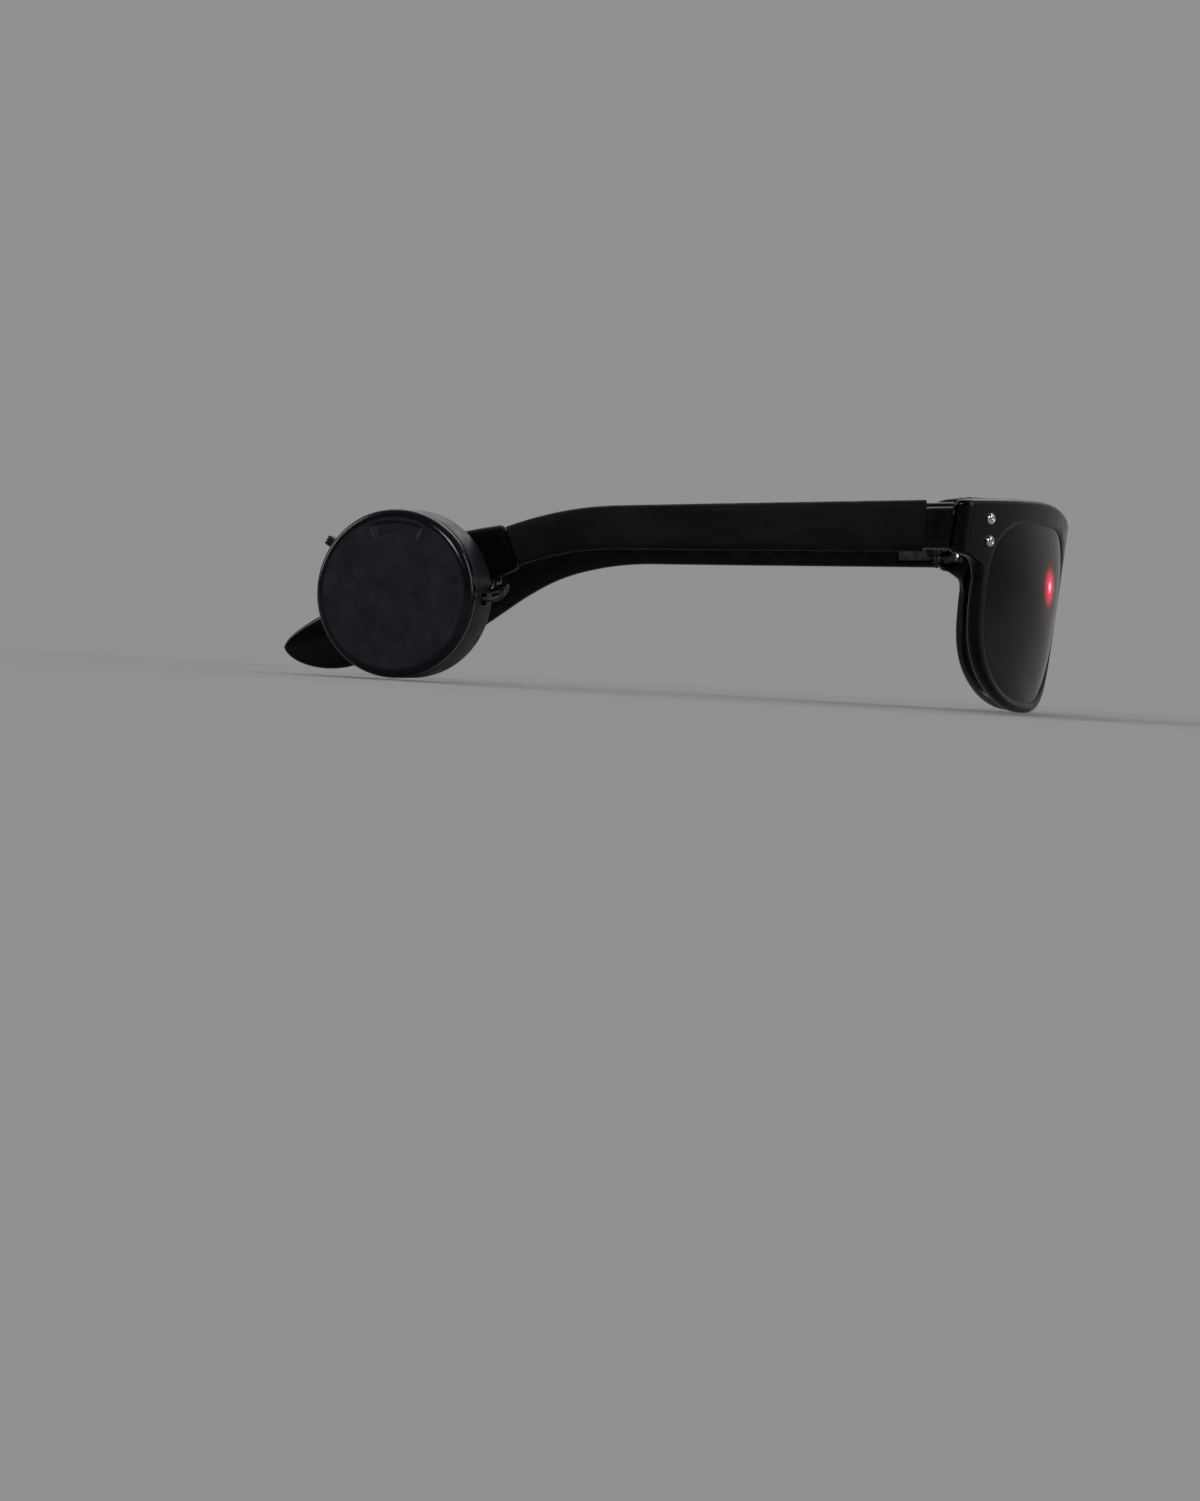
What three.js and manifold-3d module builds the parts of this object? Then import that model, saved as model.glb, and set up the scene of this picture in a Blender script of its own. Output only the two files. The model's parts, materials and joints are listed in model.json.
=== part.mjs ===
// Light-up novelty sunglasses: a dark wrapped front with a red lamp behind the right lens,
// fed through wires under a sleeve from a round coin-cell case on the right temple.
// Millimetres. Everything is built as worn, with +Z up, the front facing -Y and the wearer's
// right side at -X, and the whole is then set down on a table.

import * as THREE from 'three';
import { mergeVertices } from 'three/addons/utils/BufferGeometryUtils.js';
import Module from 'manifold-3d';

const wasm = await Module();
wasm.setup();

const radians = THREE.MathUtils.degToRad;
const rightAngle = Math.PI / 2;

// Clearances
const seatGap = 0.3; // between a piece and what carries it
const runGap = 0.3; // between pieces that turn or slide past each other

// Front frame
const wrapRadius = 116; // plan radius of the front face
const frontTilt = radians(7.6); // lean of the front, lower rim set back
const frontSetback = -1; // front face of the bridge along Y
const frontThickness = 4; // at the brow, the bridge and the end pieces
const rimThickness = 3; // round the lower part of the lenses
const rimThinning = [-13, -19]; // heights between which the rim gets thinner
const edgeRound = 1.2; // rounding along the front of the outline
const backRound = 1.6; // rounding along the back of the outline
const roundMiddle = 0.3; // share of a rounding where its middle point lies
const lipRound = 0.3; // rounding along the lens openings
const bridgeWidth = 19; // between the lens openings
const browTop = -0.8; // crest of the brow below the line that heights are taken from
const bridgeTop = -3.2;
const bridgeHeight = 10.5;
const rimAbove = 5.4;
const rimBelow = 2.2;
const rimOutside = 3.7;
const rimNose = 2.1;
const rimBlend = 4; // power that leads the side rims into the lower one
const endReach = 8; // from the lens opening to the corner of the end piece
const endCornerRadius = 3;
const endReturn = 1.4; // straight stretch behind the corner
const endTop = -3.8;
const endHeight = 10.8;
const endShoulder = 4; // height of the fillet under the end piece

// Nose rests
const restSize = [1.6, 6.2, 3.2]; // half sizes along the face, up and back
const restLevel = -25;

// Lenses
const lensWidth = 55;
const lensHeight = 37.3;
const lensPowers = [3.1, 2.7]; // squareness of the upper and the lower half of the lens outline
const lensTaper = 0.12; // narrowing from the top to the bottom
const lensLean = 2; // shift of the lowest point toward the nose
const lensBulge = 2.6;
const lensThickness = 1.3;
const lensSeat = 0.9; // reach of the lens into its groove
const lipThickness = 0.45; // rim in front of the groove

// Temple arms
const armLength = 143.8;
const armThickness = 4.2; // at the joint
const armWaist = 3.4; // thickness behind the bend
const armHeights = [[0, 9.4], [45, 8.4], [90, 7.2], [128, 12.6]]; // station, height
const armCorner = 1.3; // rounding of the section
const bendStart = 67.4;
const bendEnd = 103.4;
const bendAngle = radians(31);
const liftStart = 119.4; // where the tip curves up again
const tipTaper = 14; // length of the rounded tip
const tipFullness = [1.6, 0.75]; // powers that shape the tip
const convergence = radians(3);
const curlStart = 56.4; // where the arm starts to curve inward
const curlRadius = 235;

// Hinges
const hingeSides = 12; // facets round a barrel, a pin or a rivet
const hingeInset = 2.2; // pin from the inner face of the arm
const hingeBehind = 0.4; // pin behind the end of the arm
const barrelRadius = 1.6;
const pinRadius = 0.6;
const pinHeadRadius = 1.2;
const pinHeadHeight = 0.8;
const middleBarrel = 2.4;
const outerBarrel = 1.6;
const leafThickness = 1;
const leafWidth = 6.4;
const leafHeight = 7;
const webThickness = 1.3;
const templeLeafLength = 8.4;
const templeLeafHeight = 5;
const rivetLevel = -8.9;
const rivetLean = 0.4; // each rivet from the middle of the pair along the face
const rivetSpacing = 4.5;
const rivetFromCorner = 6.9;
const rivetRadius = 0.85;
const rivetHeadRadius = 1.15;
const rivetHeadHeight = 0.45;

// Lamp
const lampAcross = 33.9; // along the face from the bridge
const lampLevel = -18;
const lampRadius = 2.5;
const lampLength = 8.6;
const lampFlange = [2.9, 1]; // radius, height
const collarRadius = 4.6;
const collarHeight = 3.2;
const legThickness = 0.5;
const legSpread = 1.27; // leg from the lamp's axis
const legBack = 2.2;
const legUp = 5.6;

// Leads
const leadRadius = 0.5;
const leadHeights = [1.1, 2.7]; // above the arm's middle, positive and negative
const leadStep = 4; // length of one straight facet

// Sleeve and rear band
const sleeveStart = 5.2; // from the front end of the arm
const sleeveEnd = 89.7;
const sleeveWall = 0.35;
const sleeveGap = 0.2;
const bandLength = 10.4;
const bandWall = 0.9;
const bandFlare = 2.1; // growth of the band's height toward its rear end
const bandNotch = [3.6, 4.6]; // start from the band's front end, and length

// Battery case
const caseStation = 111.9; // along the arm
const caseRise = 0.4; // above the arm's middle line
const caseMargin = 7.2; // from the rim of a coin cell to the outside of the case
const caseSides = 40; // facets round the case
const caseWall = 2;
const caseFloor = 1.2;
const caseBodyHeight = 9.2;
const caseEdge = 1;
const padSize = [22, 7, 1.6]; // along, across, thickness
const lidHeight = 2.6;
const lidEdge = 1.7;
const lidGap = 0.2;
const skirtDepth = 2.2;
const skirtWall = 1.7;
const lugCount = 3;
const lugSpan = radians(22);
const lugReach = 1.2;
const lugHeight = 1;
const lidTurn = radians(25);
const recessSpan = [radians(65), radians(108)];
const recessRing = [12, 14.5];
const recessDepth = 0.6;

// Coin cells and contacts
const cellRadius = 10;
const cellHeight = 3.2;
const cellCapRadius = 8.8;
const cellStep = 0.35;
const cellGap = 0.2; // between the cells
const cellShiftShare = 0.36; // shift away from the switch, as a share of the case's margin
const stripThickness = 0.3;
const springWidth = 3;
const springRise = 0.5;
const contactWidth = 5;
const contactAngle = radians(-30);

// Switch and resistor
const switchAngle = radians(147);
const switchSize = [8.4, 3.4, 4]; // along the rim, radial, along the case's axis
const switchFloorGap = 0.6;
const knobSize = [2, 3.8, 2.6]; // along the rim, standing out, along the axis
const knobTravel = 2;
const stemDepth = 1.6; // stem inside the switch
const resistorRadius = 1.1;
const resistorLength = 6.2;
const resistorLegs = 16;
const resistorLegRadius = 0.3;
const resistorAngle = radians(91);
const resistorInset = 3.6; // from the wall of the case
const innerLevel = 5; // height of the resistor above the case's back
const leadPitch = 1.3; // between the two leads where they enter the case
const leadHoleAngle = radians(-4);

// Finishes
const glossBlack = { color: 0x0b0b0d, roughness: 0.22, metalness: 0 };
const tintedLens = { color: 0x1c1d20, roughness: 0.08, metalness: 0, transparent: true, opacity: 0.75 };
const steel = { color: 0xb9bbbe, roughness: 0.3, metalness: 1 };
const matteSleeve = { color: 0x1b1b1e, roughness: 0.75, metalness: 0 };
const satinCase = { color: 0x24252b, roughness: 0.5, metalness: 0 };
const redLamp = { color: 0xd0101c, roughness: 0.15, metalness: 0, emissive: 0xff1020 };
const clearGlue = { color: 0xd8d6cc, roughness: 0.4, metalness: 0 };
const wireJacket = { color: 0x111113, roughness: 0.5, metalness: 0 };
const redJacket = { color: 0x7a1014, roughness: 0.5, metalness: 0 };
const foam = { color: 0x2a2a2a, roughness: 0.95, metalness: 0 };
const nickel = { color: 0xc8c6c0, roughness: 0.25, metalness: 1 };
const resistorTan = { color: 0xc9a97a, roughness: 0.6, metalness: 0 };

// Sizes that follow from the ones above
const lensCentre = (bridgeWidth + lensWidth) / 2;
const lensMiddle = -(rimAbove + lensHeight / 2);
const bridgeBottom = bridgeTop - bridgeHeight;
const endBottom = endTop - endHeight;
const cornerStart = lensCentre + lensWidth / 2 + endReach;
const cornerAngle = cornerStart / wrapRadius;
const cornerEnd = cornerStart + endCornerRadius * (rightAngle - cornerAngle);
const frontEnd = cornerEnd + endReturn;
const cornerX = (wrapRadius - endCornerRadius) * Math.sin(cornerAngle);
const cornerY = wrapRadius - (wrapRadius - endCornerRadius) * Math.cos(cornerAngle);
const halfWidth = cornerX + endCornerRadius;
const grooveBack = lipThickness + lensThickness + 2 * seatGap;
const caseRadius = cellRadius + caseMargin;
const cellShift = cellShiftShare * caseMargin;

// Closed surface with merged corners, no empty triangles and its faces turned outward
function closed(geometry) {
  const bare = new THREE.BufferGeometry();
  bare.setAttribute('position', geometry.getAttribute('position'));
  bare.setIndex(geometry.index);
  const merged = mergeVertices(bare, 1e-4);
  const kept = [];
  let volume = 0;
  const [a, b, c] = [new THREE.Vector3(), new THREE.Vector3(), new THREE.Vector3()];
  for (let i = 0; i < merged.index.count; i += 3) {
    const corners = [0, 1, 2].map((k) => merged.index.getX(i + k));
    if (new Set(corners).size === 3) {
      kept.push(corners);
      [a, b, c].forEach((point, k) => point.fromBufferAttribute(merged.attributes.position, corners[k]));
      volume += a.dot(b.cross(c));
    }
  }
  const turned = volume < 0 ? kept.map(([i, j, k]) => [i, k, j]) : kept;
  merged.setIndex(turned.flat());
  merged.computeVertexNormals();
  return merged;
}

// Skin over rings of points: the last ring joins the first, or both ends get a flat cap
function skin(rings, looped) {
  const count = rings[0].length;
  const points = rings.flat();
  const triangles = [];
  const spans = looped ? rings.length : rings.length - 1;
  for (let i = 0; i < spans; i += 1) {
    const near = i * count;
    const far = ((i + 1) % rings.length) * count;
    for (let j = 0; j < count; j += 1) {
      const k = (j + 1) % count;
      triangles.push(near + j, far + j, far + k, near + j, far + k, near + k);
    }
  }
  if (!looped) {
    const last = (rings.length - 1) * count;
    const hub = points.length;
    [rings[0], rings[rings.length - 1]].forEach((ring) => {
      const middle = new THREE.Vector3();
      ring.forEach((point) => middle.addScaledVector(point, 1 / count));
      points.push(middle);
    });
    for (let j = 0; j < count; j += 1) {
      const k = (j + 1) % count;
      triangles.push(hub, j, k, hub + 1, last + k, last + j);
    }
  }
  const geometry = new THREE.BufferGeometry().setFromPoints(points);
  geometry.setIndex(triangles);
  return closed(geometry);
}

// Exact solid for joining and cutting, and back
function solid(geometry) {
  const merged = closed(geometry);
  return new wasm.Manifold(new wasm.Mesh({
    numProp: 3,
    vertProperties: new Float32Array(merged.attributes.position.array),
    triVerts: new Uint32Array(merged.index.array),
  }));
}

function surface(made) {
  const mesh = made.getMesh();
  const geometry = new THREE.BufferGeometry();
  geometry.setAttribute('position', new THREE.BufferAttribute(new Float32Array(mesh.vertProperties), 3));
  geometry.setIndex(new THREE.BufferAttribute(new Uint32Array(mesh.triVerts), 1));
  return closed(geometry);
}

function join(first, ...others) {
  return surface(others.reduce((whole, other) => whole.add(solid(other)), solid(first)));
}

function cut(body, ...tools) {
  return surface(tools.reduce((whole, tool) => whole.subtract(solid(tool)), solid(body)));
}

// The same piece for the wearer's other side
function mirrored(geometry) {
  return closed(geometry.clone().applyMatrix4(new THREE.Matrix4().makeScale(-1, 1, 1)));
}

// Box between two corners
function block(low, high) {
  const geometry = new THREE.BoxGeometry(high[0] - low[0], high[1] - low[1], high[2] - low[2]);
  const middle = low.map((value, i) => (value + high[i]) / 2);
  return geometry.translate(...middle);
}

// Flat outline raised from one height to another
function prism(points, bottom, top) {
  const shape = new THREE.Shape(points.map(([x, y]) => new THREE.Vector2(x, y)));
  const geometry = new THREE.ExtrudeGeometry(shape, { depth: top - bottom, bevelEnabled: false });
  return geometry.translate(0, 0, bottom);
}

// Profile of radius and height spun around Z
function spun(profile, segments) {
  const points = profile.map(([radius, height]) => new THREE.Vector2(radius, height));
  return new THREE.LatheGeometry(points, segments).rotateX(rightAngle);
}

// Slice of a ring between two angles and two heights
function ringSlice(inner, outer, from, to, bottom, top) {
  const steps = Math.max(2, Math.ceil((to - from) / radians(8)));
  const angles = Array.from({ length: steps + 1 }, (_, i) => from + ((to - from) * i) / steps);
  const outside = angles.map((angle) => [outer * Math.cos(angle), outer * Math.sin(angle)]);
  const inside = angles.map((angle) => [inner * Math.cos(angle), inner * Math.sin(angle)]);
  return prism([...outside, ...inside.reverse()], bottom, top);
}

// Round wire along a smooth curve through points
function wire(points, radius) {
  const path = new THREE.CatmullRomCurve3(points, false, 'centripetal');
  const sides = 8;
  const ring = Array.from({ length: sides }, (_, i) => (2 * Math.PI * i) / sides);
  const circle = ring.map((angle) => new THREE.Vector2(radius * Math.cos(angle), radius * Math.sin(angle)));
  const shape = new THREE.Shape(circle);
  const steps = Math.max(6, Math.ceil(path.getLength() / leadStep), Math.ceil(1.5 * points.length));
  return new THREE.ExtrudeGeometry(shape, { steps, extrudePath: path, bevelEnabled: false });
}

// Front face: p runs along the wrapped face from the bridge to the right, q runs up from the brow
function facePoint(p, q, depth) {
  const wrapped = p <= cornerStart;
  const radius = wrapped ? wrapRadius : endCornerRadius;
  const angle = wrapped ? p / wrapRadius : Math.min(cornerAngle + (p - cornerStart) / radius, rightAngle);
  const x = (wrapped ? 0 : cornerX) + (radius - depth) * Math.sin(angle);
  const behind = Math.max(p - cornerEnd, 0);
  const y = (wrapped ? wrapRadius : cornerY) - (radius - depth) * Math.cos(angle) + behind;
  return new THREE.Vector3(
    -x,
    y * Math.cos(frontTilt) - q * Math.sin(frontTilt) + frontSetback,
    y * Math.sin(frontTilt) + q * Math.cos(frontTilt),
  );
}

// Frame at a point of the face, with axes along p, q and depth
function faceFrame(p, q, depth) {
  const reach = 0.01;
  const along = facePoint(p + reach, q, depth).sub(facePoint(p - reach, q, depth)).normalize();
  const up = facePoint(p, q + reach, depth).sub(facePoint(p, q - reach, depth)).normalize();
  const inward = new THREE.Vector3().crossVectors(along, up);
  return new THREE.Matrix4().makeBasis(along, up, inward).setPosition(facePoint(p, q, depth));
}

// Lens outline: a squared oval that narrows downward, grown by a margin
function lensOutline(turn, margin) {
  const power = 2 / lensPowers[Math.sin(turn) < 0 ? 1 : 0];
  const across = Math.sign(Math.cos(turn)) * Math.abs(Math.cos(turn)) ** power;
  const up = Math.sign(Math.sin(turn)) * Math.abs(Math.sin(turn)) ** power;
  const narrowing = 1 + (lensTaper * (up - 1)) / 2;
  const lean = lensLean * Math.min(up, 0) ** 2;
  return new THREE.Vector2(
    lensCentre - lean + (lensWidth / 2 + margin) * across * narrowing,
    lensMiddle + (lensHeight / 2 + margin) * up,
  );
}

// Point of that outline in the direction of another point, seen from the lens centre
function outlineToward(target, margin) {
  const heading = Math.atan2(target.y - lensMiddle, target.x - lensCentre);
  let low = heading - Math.PI / 3;
  let high = heading + Math.PI / 3;
  for (let i = 0; i < 40; i += 1) {
    const middle = (low + high) / 2;
    const point = lensOutline(middle, margin);
    const angle = Math.atan2(point.y - lensMiddle, point.x - lensCentre) - heading;
    const ahead = Math.atan2(Math.sin(angle), Math.cos(angle)) > 0;
    [low, high] = ahead ? [low, middle] : [middle, high];
  }
  return lensOutline(low, margin);
}

// Outline of the right half of the front, from the top of the bridge round to its underside
function frontOutline() {
  const shoulderTurn = Math.asin(0.16);
  const noseTurn = -Math.PI + 0.05;
  const shoulder = lensOutline(shoulderTurn, rimOutside);
  const nose = lensOutline(noseTurn, rimNose);
  const brow = [lensCentre - 2, browTop];
  const points = [];
  const curve = (steps, ...corners) => {
    const bezier = new THREE.CubicBezierCurve(...corners.map((corner) => new THREE.Vector2(...corner)));
    points.push(...bezier.getPoints(steps).slice(0, steps));
  };
  curve(5, [0, bridgeTop], [9, bridgeTop], [brow[0] - 14, browTop], brow);
  curve(7, brow, [brow[0] + 17, browTop], [frontEnd - 13, endTop + 1.2], [frontEnd, endTop]);
  curve(3, [frontEnd, endTop], [frontEnd, endTop - 3], [frontEnd, endBottom + 3], [frontEnd, endBottom]);
  const fillet = [shoulder.x + 0.6, shoulder.y + endShoulder * 0.7];
  curve(4, [frontEnd, endBottom], [frontEnd - 4, endBottom], fillet, [shoulder.x, shoulder.y]);
  const lowerSteps = 15;
  for (let i = 0; i < lowerSteps; i += 1) {
    const turn = shoulderTurn + ((noseTurn - shoulderTurn) * i) / lowerSteps;
    const side = Math.cos(turn) > 0 ? rimOutside : rimNose;
    points.push(lensOutline(turn, rimBelow + (side - rimBelow) * Math.cos(turn) ** rimBlend));
  }
  curve(5, [nose.x, nose.y], [nose.x - 1, nose.y + 7], [6.5, bridgeBottom], [0, bridgeBottom]);
  curve(3, [0, bridgeBottom], [0, bridgeBottom + 3], [0, bridgeTop - 3], [0, bridgeTop]);
  return points;
}

// Right half of the front: a section carried round the lens opening
function frontHalf() {
  const outer = frontOutline();
  const rings = outer.map((point, i) => {
    const before = outer[(i + outer.length - 1) % outer.length];
    const after = outer[(i + 1) % outer.length];
    const outward = new THREE.Vector2(before.y - after.y, after.x - before.x).normalize();
    const onCut = point.x < 1e-6;
    const atEnd = onCut && (before.x > 1e-6 || after.x > 1e-6);
    if (onCut) {
      outward.set(0, atEnd ? Math.sign(point.y - (bridgeTop + bridgeBottom) / 2) : 0);
    }
    const inner = outlineToward(point, 0);
    const groove = outlineToward(point, lensSeat + seatGap);
    const face = outlineToward(point, lipRound);
    const inset = (reach) => point.clone().addScaledVector(outward, -reach);
    const between = (share, reach) => face.clone().lerp(inset(reach), share);
    const thin = THREE.MathUtils.smoothstep(-point.y, -rimThinning[0], -rimThinning[1]);
    const back = THREE.MathUtils.lerp(frontThickness, rimThickness, thin);
    const frontCut = roundMiddle * edgeRound;
    const backCut = roundMiddle * backRound;
    const section = [
      [inner, lipThickness], [inner, lipRound], [face, 0],
      [between(1 / 3, edgeRound), 0], [between(2 / 3, edgeRound), 0],
      [inset(edgeRound), 0], [inset(frontCut), frontCut], [point, edgeRound],
      [point, back - backRound], [inset(backCut), back - backCut], [inset(backRound), back],
      [between(2 / 3, backRound), back], [between(1 / 3, backRound), back],
      [face, back], [inner, back - lipRound], [inner, grooveBack],
      [groove, grooveBack], [groove, lipThickness],
    ];
    return section.map(([place, depth]) => facePoint(place.x, place.y, depth));
  });
  return skin(rings, true);
}

// Lens in its groove, seen as rings from the front centre over the edge to the back centre
function lensGeometry() {
  const shares = [0.3, 0.6, 0.85, 1];
  const count = 40;
  const ringAt = (share, offset) => Array.from({ length: count }, (_, i) => {
    const edge = lensOutline((2 * Math.PI * i) / count, lensSeat);
    const p = lensCentre + (edge.x - lensCentre) * share;
    const q = lensMiddle + (edge.y - lensMiddle) * share;
    return facePoint(p, q, lipThickness + seatGap + offset - lensBulge * (1 - share * share));
  });
  const front = shares.map((share) => ringAt(share, 0));
  const back = shares.map((share) => ringAt(share, lensThickness)).reverse();
  return skin([...front, ...back], false);
}

// Depth of the back of the lens at a point of the face
function lensBackDepth(p, q) {
  const edge = outlineToward(new THREE.Vector2(p, q), lensSeat);
  const reach = Math.hypot(edge.x - lensCentre, edge.y - lensMiddle);
  const share = Math.hypot(p - lensCentre, q - lensMiddle) / reach;
  return lipThickness + seatGap + lensThickness - lensBulge * (1 - share * share);
}

// Arm: stations run along its middle line from the joint with the front
const jointMiddle = facePoint(frontEnd, endTop - endHeight / 2, frontThickness / 2);
const armY = jointMiddle.y + runGap;
const armZ = jointMiddle.z;
const armX = halfWidth - armThickness / 2;

function armPitch(station) {
  const bend = THREE.MathUtils.clamp((station - bendStart) / (bendEnd - bendStart), 0, 1);
  const lift = THREE.MathUtils.clamp((station - liftStart) / (armLength - liftStart), 0, 1);
  return bendAngle * (bend - lift);
}

function armMiddle(station) {
  const steps = Math.max(1, Math.ceil(station));
  const step = station / steps;
  let y = 0;
  let z = 0;
  for (let i = 0; i < steps; i += 1) {
    const pitch = armPitch((i + 0.5) * step);
    y += step * Math.cos(pitch);
    z -= step * Math.sin(pitch);
  }
  return [y, z];
}

// Point beside the right arm's middle line: inward is toward the head, up is across the section
function armPoint(station, inward, up) {
  const [along, drop] = armMiddle(station);
  const pitch = armPitch(station);
  const mitre = Math.max(0, 1 - station / (3 * armThickness)) * Math.tan(frontTilt);
  const y = along + up * Math.sin(pitch) - up * mitre;
  const curl = Math.max(y - curlStart, 0);
  const x = -armX + y * Math.tan(convergence) + (curl * curl) / (2 * curlRadius) + inward;
  return new THREE.Vector3(x, armY + y, armZ + drop + up * Math.cos(pitch));
}

function armSlope(station) {
  const [along] = armMiddle(station);
  return Math.atan(Math.tan(convergence) + Math.max(along - curlStart, 0) / curlRadius);
}

function tipShare(station) {
  const along = Math.max(0, (station - (armLength - tipTaper)) / tipTaper);
  return Math.max(0, 1 - along ** tipFullness[0]) ** tipFullness[1];
}

function armHeight(station) {
  const last = armHeights.length - 1;
  const index = armHeights.findIndex(([place]) => place > station);
  if (index < 0) {
    return armHeights[last][1] * tipShare(station);
  }
  const [[s0, h0], [s1, h1]] = [armHeights[index - 1], armHeights[index]];
  return THREE.MathUtils.mapLinear(station, s0, s1, h0, h1) * tipShare(station);
}

function armWidth(station) {
  const share = Math.min(station / bendStart, 1);
  return THREE.MathUtils.lerp(armThickness, armWaist, share) * (0.25 + 0.75 * tipShare(station));
}

// Rounded rectangle around a station of the arm
function armSection(station, width, height, shift, corner, rise = 0) {
  const radius = Math.min(corner, width * 0.45, height * 0.45);
  const points = [];
  for (let quarter = 0; quarter < 4; quarter += 1) {
    const side = quarter === 0 || quarter === 3 ? 1 : -1;
    const level = quarter < 2 ? 1 : -1;
    for (let i = 0; i <= 3; i += 1) {
      const angle = (quarter + i / 3) * rightAngle;
      const across = shift + side * (width / 2 - radius) + radius * Math.cos(angle);
      const up = rise + level * (height / 2 - radius) + radius * Math.sin(angle);
      points.push(armPoint(station, across, up));
    }
  }
  return points;
}

function stationsBetween(from, to, step) {
  const count = Math.max(1, Math.round((to - from) / step));
  return Array.from({ length: count + 1 }, (_, i) => from + ((to - from) * i) / count);
}

function armGeometry() {
  const tipStart = armLength - tipTaper;
  const tipStations = [0.25, 0.5, 0.7, 0.85, 0.95, 0.99].map((share) => tipStart + share * tipTaper);
  const stations = [
    0,
    ...stationsBetween(sleeveStart, bendStart, 21),
    ...stationsBetween(bendStart, tipStart, 6).slice(1),
    ...tipStations,
  ];
  return skin(stations.map((s) => armSection(s, armWidth(s), armHeight(s), 0, armCorner)), false);
}

// Hollow sleeve round the arm with room for the leads on the inner face
const leadRoom = seatGap + 2 * leadRadius + seatGap;
const leadAcross = (station) => armWidth(station) / 2 + seatGap + leadRadius;

function sleeveGeometry(from, to, wall, step, flare) {
  const ringAt = (station, thickness) => {
    const width = armWidth(station) + sleeveGap + leadRoom + 2 * thickness;
    const growth = flare * THREE.MathUtils.mapLinear(station, from, to, 0, 1);
    const height = armHeight(station) + 2 * (sleeveGap + thickness) + growth;
    return armSection(station, width, height, (leadRoom - sleeveGap) / 2, armCorner + thickness, growth / 2);
  };
  const stations = stationsBetween(from, to, step);
  const outside = stations.map((station) => ringAt(station, wall));
  const inside = stations.map((station) => ringAt(station, 0)).reverse();
  return skin([...outside, ...inside], true);
}

// Hinge: its pin stands beside the inner face of the arm
const hingeX = -(halfWidth - armThickness - hingeInset);
const hingeY = armY + hingeBehind;
const rivetAcross = cornerStart - rivetFromCorner;
const hingeZ = facePoint(rivetAcross, rivetLevel, 0).z;
const middleHalf = middleBarrel / 2;
const outerStart = middleHalf + runGap;
const outerEnd = outerStart + outerBarrel;
const boreRadius = pinRadius + runGap;
const templeFace = -armX + armThickness / 2;

function barrel(radius, bottom, top) {
  const profile = [[0, bottom], [radius, bottom], [radius, top], [0, top]];
  return spun(profile, hingeSides).translate(hingeX, hingeY, hingeZ);
}

// Upright web between a plan point and the pin
function web(x, y, bottom, top) {
  const along = new THREE.Vector2(hingeX - x, hingeY - y).normalize().multiplyScalar(webThickness / 2);
  const corners = [[x - along.y, y + along.x], [x + along.y, y - along.x]];
  const ends = [[hingeX + along.y, hingeY - along.x], [hingeX - along.y, hingeY + along.x]];
  return prism([...corners, ...ends], bottom, top).translate(0, 0, hingeZ);
}

function frontLeafGeometry() {
  const reach = leafWidth / 2;
  const plate = block([-reach, -leafHeight / 2, seatGap], [reach, leafHeight / 2, seatGap + leafThickness])
    .applyMatrix4(faceFrame(rivetAcross, rivetLevel, frontThickness));
  const parts = [-1, 1].flatMap((side) => {
    const [bottom, top] = [side * outerStart, side * outerEnd].sort((a, b) => a - b);
    const depth = frontThickness + seatGap + leafThickness / 2;
    const foot = facePoint(rivetAcross + reach - webThickness, rivetLevel + bottom, depth);
    return [barrel(barrelRadius, bottom, top), web(foot.x, foot.y, bottom, top)];
  });
  const holes = rivetPlaces().map(rivetHole);
  return cut(join(plate, ...parts), barrel(boreRadius, -2 * outerEnd, 2 * outerEnd), ...holes);
}

function templeLeafGeometry() {
  const start = armY + barrelRadius;
  const plate = block(
    [templeFace - leafThickness, start, hingeZ - templeLeafHeight / 2],
    [templeFace, start + templeLeafLength, hingeZ + templeLeafHeight / 2],
  );
  const arm = web(templeFace - leafThickness / 2, start + webThickness, -middleHalf, middleHalf);
  const knuckle = barrel(barrelRadius, -middleHalf, middleHalf);
  return cut(join(plate, arm, knuckle), barrel(boreRadius, -2 * middleHalf, 2 * middleHalf));
}

// Room for the temple leaf in the inner face of the arm
function leafPocket() {
  const start = armY + barrelRadius;
  const half = templeLeafHeight / 2 + seatGap;
  return block(
    [templeFace - leafThickness - seatGap, start - seatGap, hingeZ - half],
    [templeFace + armThickness, start + templeLeafLength + seatGap, hingeZ + half],
  );
}

function pinGeometry() {
  const head = -outerEnd - runGap;
  const profile = [
    [0, head - pinHeadHeight], [pinHeadRadius * 0.75, head - pinHeadHeight],
    [pinHeadRadius, head - pinHeadHeight * 0.6], [pinHeadRadius, head],
    [pinRadius, head], [pinRadius, outerEnd], [0, outerEnd],
  ];
  return spun(profile, hingeSides).translate(hingeX, hingeY, hingeZ);
}

function rivetPlaces() {
  return [1, -1].map((side) => [rivetAcross + side * rivetLean, rivetLevel + (side * rivetSpacing) / 2]);
}

function rivetGeometry(place) {
  const tail = frontThickness + seatGap + leafThickness;
  const profile = [
    [0, -seatGap - rivetHeadHeight], [rivetHeadRadius * 0.6, -seatGap - rivetHeadHeight * 0.85],
    [rivetHeadRadius, -seatGap], [rivetRadius, -seatGap], [rivetRadius, tail], [0, tail],
  ];
  return spun(profile, hingeSides).applyMatrix4(faceFrame(...place, 0));
}

function rivetHole(place) {
  const radius = rivetRadius + seatGap;
  const [from, to] = [-frontThickness, 2 * frontThickness];
  const profile = [[0, from], [radius, from], [radius, to], [0, to]];
  return spun(profile, hingeSides).applyMatrix4(faceFrame(...place, 0));
}

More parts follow.
